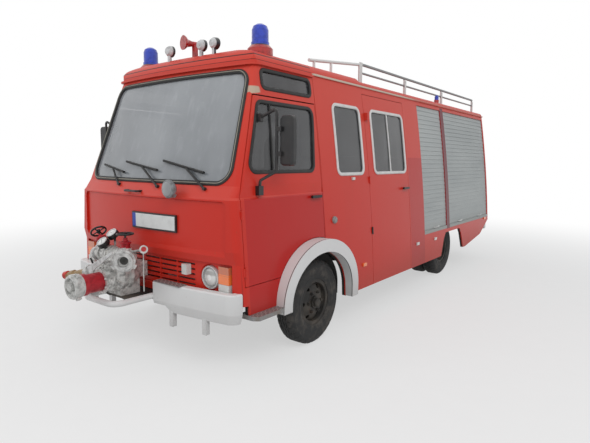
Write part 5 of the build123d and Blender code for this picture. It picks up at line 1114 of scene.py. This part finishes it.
# %% [markdown]
# Real upholstery swells until its cover holds it. So each pad is remeshed evenly and blown up as cloth, and
# no point may travel further than a cap. A remesh wipes out narrow seams, so sewn channels come after it.
# %% Cloth under pressure
def plumped(obj, voxel=0.010, cap=0.012, channel=0.115):
    """Blows a pad up as cloth: remeshed evenly, 20 frames of inner pressure with no gravity, each point kept
    within the cap of where it began. Sewn channels are then pressed in along the normals, a bell curve across
    each line of x."""
    scene = bpy.context.scene
    even = obj.modifiers.new("even_mesh", "REMESH")
    even.mode, even.voxel_size, even.use_smooth_shade = "VOXEL", voxel, True
    obj.data = bpy.data.meshes.new_from_object(obj.evaluated_get(bpy.context.evaluated_depsgraph_get()))
    obj.modifiers.clear()
    start = np.empty(3 * len(obj.data.vertices))
    obj.data.vertices.foreach_get("co", start)
    cloth = obj.modifiers.new("pressure", "CLOTH")
    cloth.settings.use_pressure, cloth.settings.uniform_pressure_force = True, 4.0
    cloth.settings.effector_weights.gravity = 0.0
    cloth.collision_settings.use_collision = False
    cloth.point_cache.frame_start, cloth.point_cache.frame_end = 1, 20
    for count in range(1, 21):
        scene.frame_set(count)
    blown = obj.evaluated_get(bpy.context.evaluated_depsgraph_get()).to_mesh()
    end = np.empty(3 * len(blown.vertices))
    blown.vertices.foreach_get("co", end)
    obj.modifiers.clear()
    scene.frame_set(1)
    start, move = start.reshape(-1, 3), (end - start).reshape(-1, 3)
    length = np.linalg.norm(move, axis=1, keepdims=True)
    points = start + move * np.minimum(1, cap / np.maximum(length, 1e-9))
    normals = np.empty(3 * len(points))
    obj.data.vertices.foreach_get("normal", normals)
    middle = (points.min(0) + points.max(0)) / 2
    beside = (points[:, 0] - middle[0] + channel / 2) % channel - channel / 2
    press = 0.007 * np.exp(-((beside / 0.006) ** 2))
    points -= press[:, None] * normals.reshape(-1, 3)
    obj.data.vertices.foreach_set("co", points.ravel())
    obj.modifiers.new("smooth", "SUBSURF").levels = 1
    obj.modifiers["smooth"].render_levels = 1
    return float(length.max())


# %% [markdown] The pads stand where the solid seats stand, two in front and a bench for the crew, and plain
# plinths carry them down to the floor.
seat_vinyl = vinyl()
SEAT_X, SEAT_Y = 0.600, 0.560 - MIDDLE
pads = []
for x, word in ((SEAT_X, "driver"), (-SEAT_X, "front_passenger")):
    pads.append((word + "_cushion", (x - 0.215, SEAT_Y + 0.01, 1.04), (x + 0.215, SEAT_Y + 0.35, 1.18)))
    pads.append((word + "_back", (x - 0.210, SEAT_Y + 0.385, 1.19), (x + 0.210, SEAT_Y + 0.465, 1.84)))
pads.append(("bench_cushion", (-0.86, 0.11, 0.99), (0.86, 0.38, 1.12)))
pads.append(("bench_back", (-0.86, 0.395, 1.13), (0.86, 0.475, 1.68)))
for name, low, high in pads:
    obj = piece(name, [cushion(low, high)], seat_vinyl, "chassis", 60)
    print(name, "swelled by", round(plumped(obj), 4))
    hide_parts("seats")
plinths = []
for x in (-SEAT_X, SEAT_X):
    plinths.append(slab((x - 0.20, 0.60 - MIDDLE, 0.9305), (x + 0.20, 0.98 - MIDDLE, 1.05)))
plinths.append(slab((-0.86, 2.82 - MIDDLE, 0.6905), (0.86, 3.17 - MIDDLE, 1.00)))
piece("seat_plinths", plinths, black_plastic, "chassis")
print("seat pads", len(pads), "plinths", len(plinths))

# %% [markdown]
# The floor and the sky. An overcast day is one wide, soft source, so a pale world does most of the work. The
# floor is pale, and what the camera sees of it is lifted to white, while it keeps the wheels' shadow.
# %% Floor and sky
def behind_all(finish, shader, shown, fade):
    """Lets rays that end at the eye, a gloss or a pane meet plain white as far as the fade says."""
    ray = finish.node("ShaderNodeLightPath")
    kinds = ("Is Camera Ray", "Is Glossy Ray", "Is Transmission Ray")
    eye, gloss, glass = (Number(finish, ray.outputs[kind]) for kind in kinds)
    factor = eye.most(gloss).most(glass) * fade
    return finish.node("ShaderNodeMixShader", {}, {0: factor, 1: shader, 2: shown}).outputs[0]


ground = Finish("pale_floor")
speck = ground.noise(6.0, 3.0)
paint = ground.tint((0.70, 0.70, 0.69), (0.66, 0.66, 0.655), speck)
matt = ground.node("ShaderNodeBsdfDiffuse", {}, {"Color": paint}).outputs[0]
bright_floor = ground.node("ShaderNodeEmission", {}, {"Color": (1, 1, 1, 1), "Strength": 1.0}).outputs[0]
distance = (ground.x * ground.x + ground.y * ground.y) ** 0.5
fade = ground.step(distance, 3.0, 10.0) * 0.45 + 0.55
lit = behind_all(ground, matt, bright_floor, fade)
ground.node("ShaderNodeOutputMaterial", {}, {"Surface": lit})
floor_mesh = bpy.data.meshes.new("floor")
R = 60.0
floor_mesh.from_pydata([(-R, -R, 0), (R, -R, 0), (R, R, 0), (-R, R, 0)], [], [(0, 1, 2, 3)])
floor_mesh.materials.append(ground.material)
floor = bpy.data.objects.new("floor", floor_mesh)
bpy.context.scene.collection.objects.link(floor)
floor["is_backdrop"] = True

sky = Finish("overcast", bpy.data.worlds.new("overcast"))
bpy.context.scene.world = sky.material
cool = {"Color": (0.95, 0.97, 1.0, 1), "Strength": 0.56}
cloud_light = sky.node("ShaderNodeBackground", {}, cool).outputs[0]
white_light = sky.node("ShaderNodeBackground", {}, {"Color": (1, 1, 1, 1), "Strength": 1.0}).outputs[0]
sky.node("ShaderNodeOutputWorld", {}, {"Surface": behind_all(sky, cloud_light, white_light, 1.0)})
print("floor half width", R, "sky strength", cool["Strength"])

# %% [markdown]
# Two large lamps give the panels their slow highlights. They are hidden from gloss, or they would wash the
# reds out. The camera stands where the photograph was taken from: its three directions are worked out from
# a yaw, a pitch and a roll, and set as the columns of its matrix.
# %% Lamps and camera
def soft_lamp(name, place, target, size, power):
    lamp = bpy.data.lights.new(name, "AREA")
    lamp.shape, lamp.size, lamp.energy = "DISK", size, power
    obj = bpy.data.objects.new(name, lamp)
    obj.location = place
    toward = Vector(target) - Vector(place)
    obj.rotation_euler = toward.to_track_quat("-Z", "Y").to_euler()
    obj.visible_glossy = False
    bpy.context.scene.collection.objects.link(obj)


soft_lamp("sky_left", (9.0, -7.0, 9.0), (0, 0, 1.0), 7.0, 520.0)
soft_lamp("sky_front", (-5.0, -11.0, 7.0), (0, -1.0, 1.2), 6.0, 230.0)

YAW, PITCH, ROLL = 0.6507, -0.1265, 0.0081
ahead = np.array((-math.sin(YAW) * math.cos(PITCH), math.cos(YAW) * math.cos(PITCH), math.sin(PITCH)))
level = np.array((math.cos(YAW), math.sin(YAW), 0.0))
upward = np.cross(level, ahead)
right = math.cos(ROLL) * level + math.sin(ROLL) * upward
top = -math.sin(ROLL) * level + math.cos(ROLL) * upward
lens_data = bpy.data.cameras.new("camera")
lens_data.lens, lens_data.sensor_width = 29.37, 36.0
camera = bpy.data.objects.new("camera", lens_data)
turn = np.eye(4)
turn[:3, 0], turn[:3, 1], turn[:3, 2], turn[:3, 3] = right, top, -ahead, (3.3882, -5.1740, 1.6109)
camera.matrix_world = Matrix(turn.tolist())
bpy.context.scene.collection.objects.link(camera)
bpy.context.scene.camera = camera
bpy.context.scene.view_settings.view_transform = "Standard"
print("camera at", [round(v, 3) for v in camera.location])

# %% [markdown]
# Last, the box round every drawn piece, the floor left out, is printed.
# %% Finish
low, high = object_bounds()
print("box", [round(v, 3) for v in (*low, *high)])
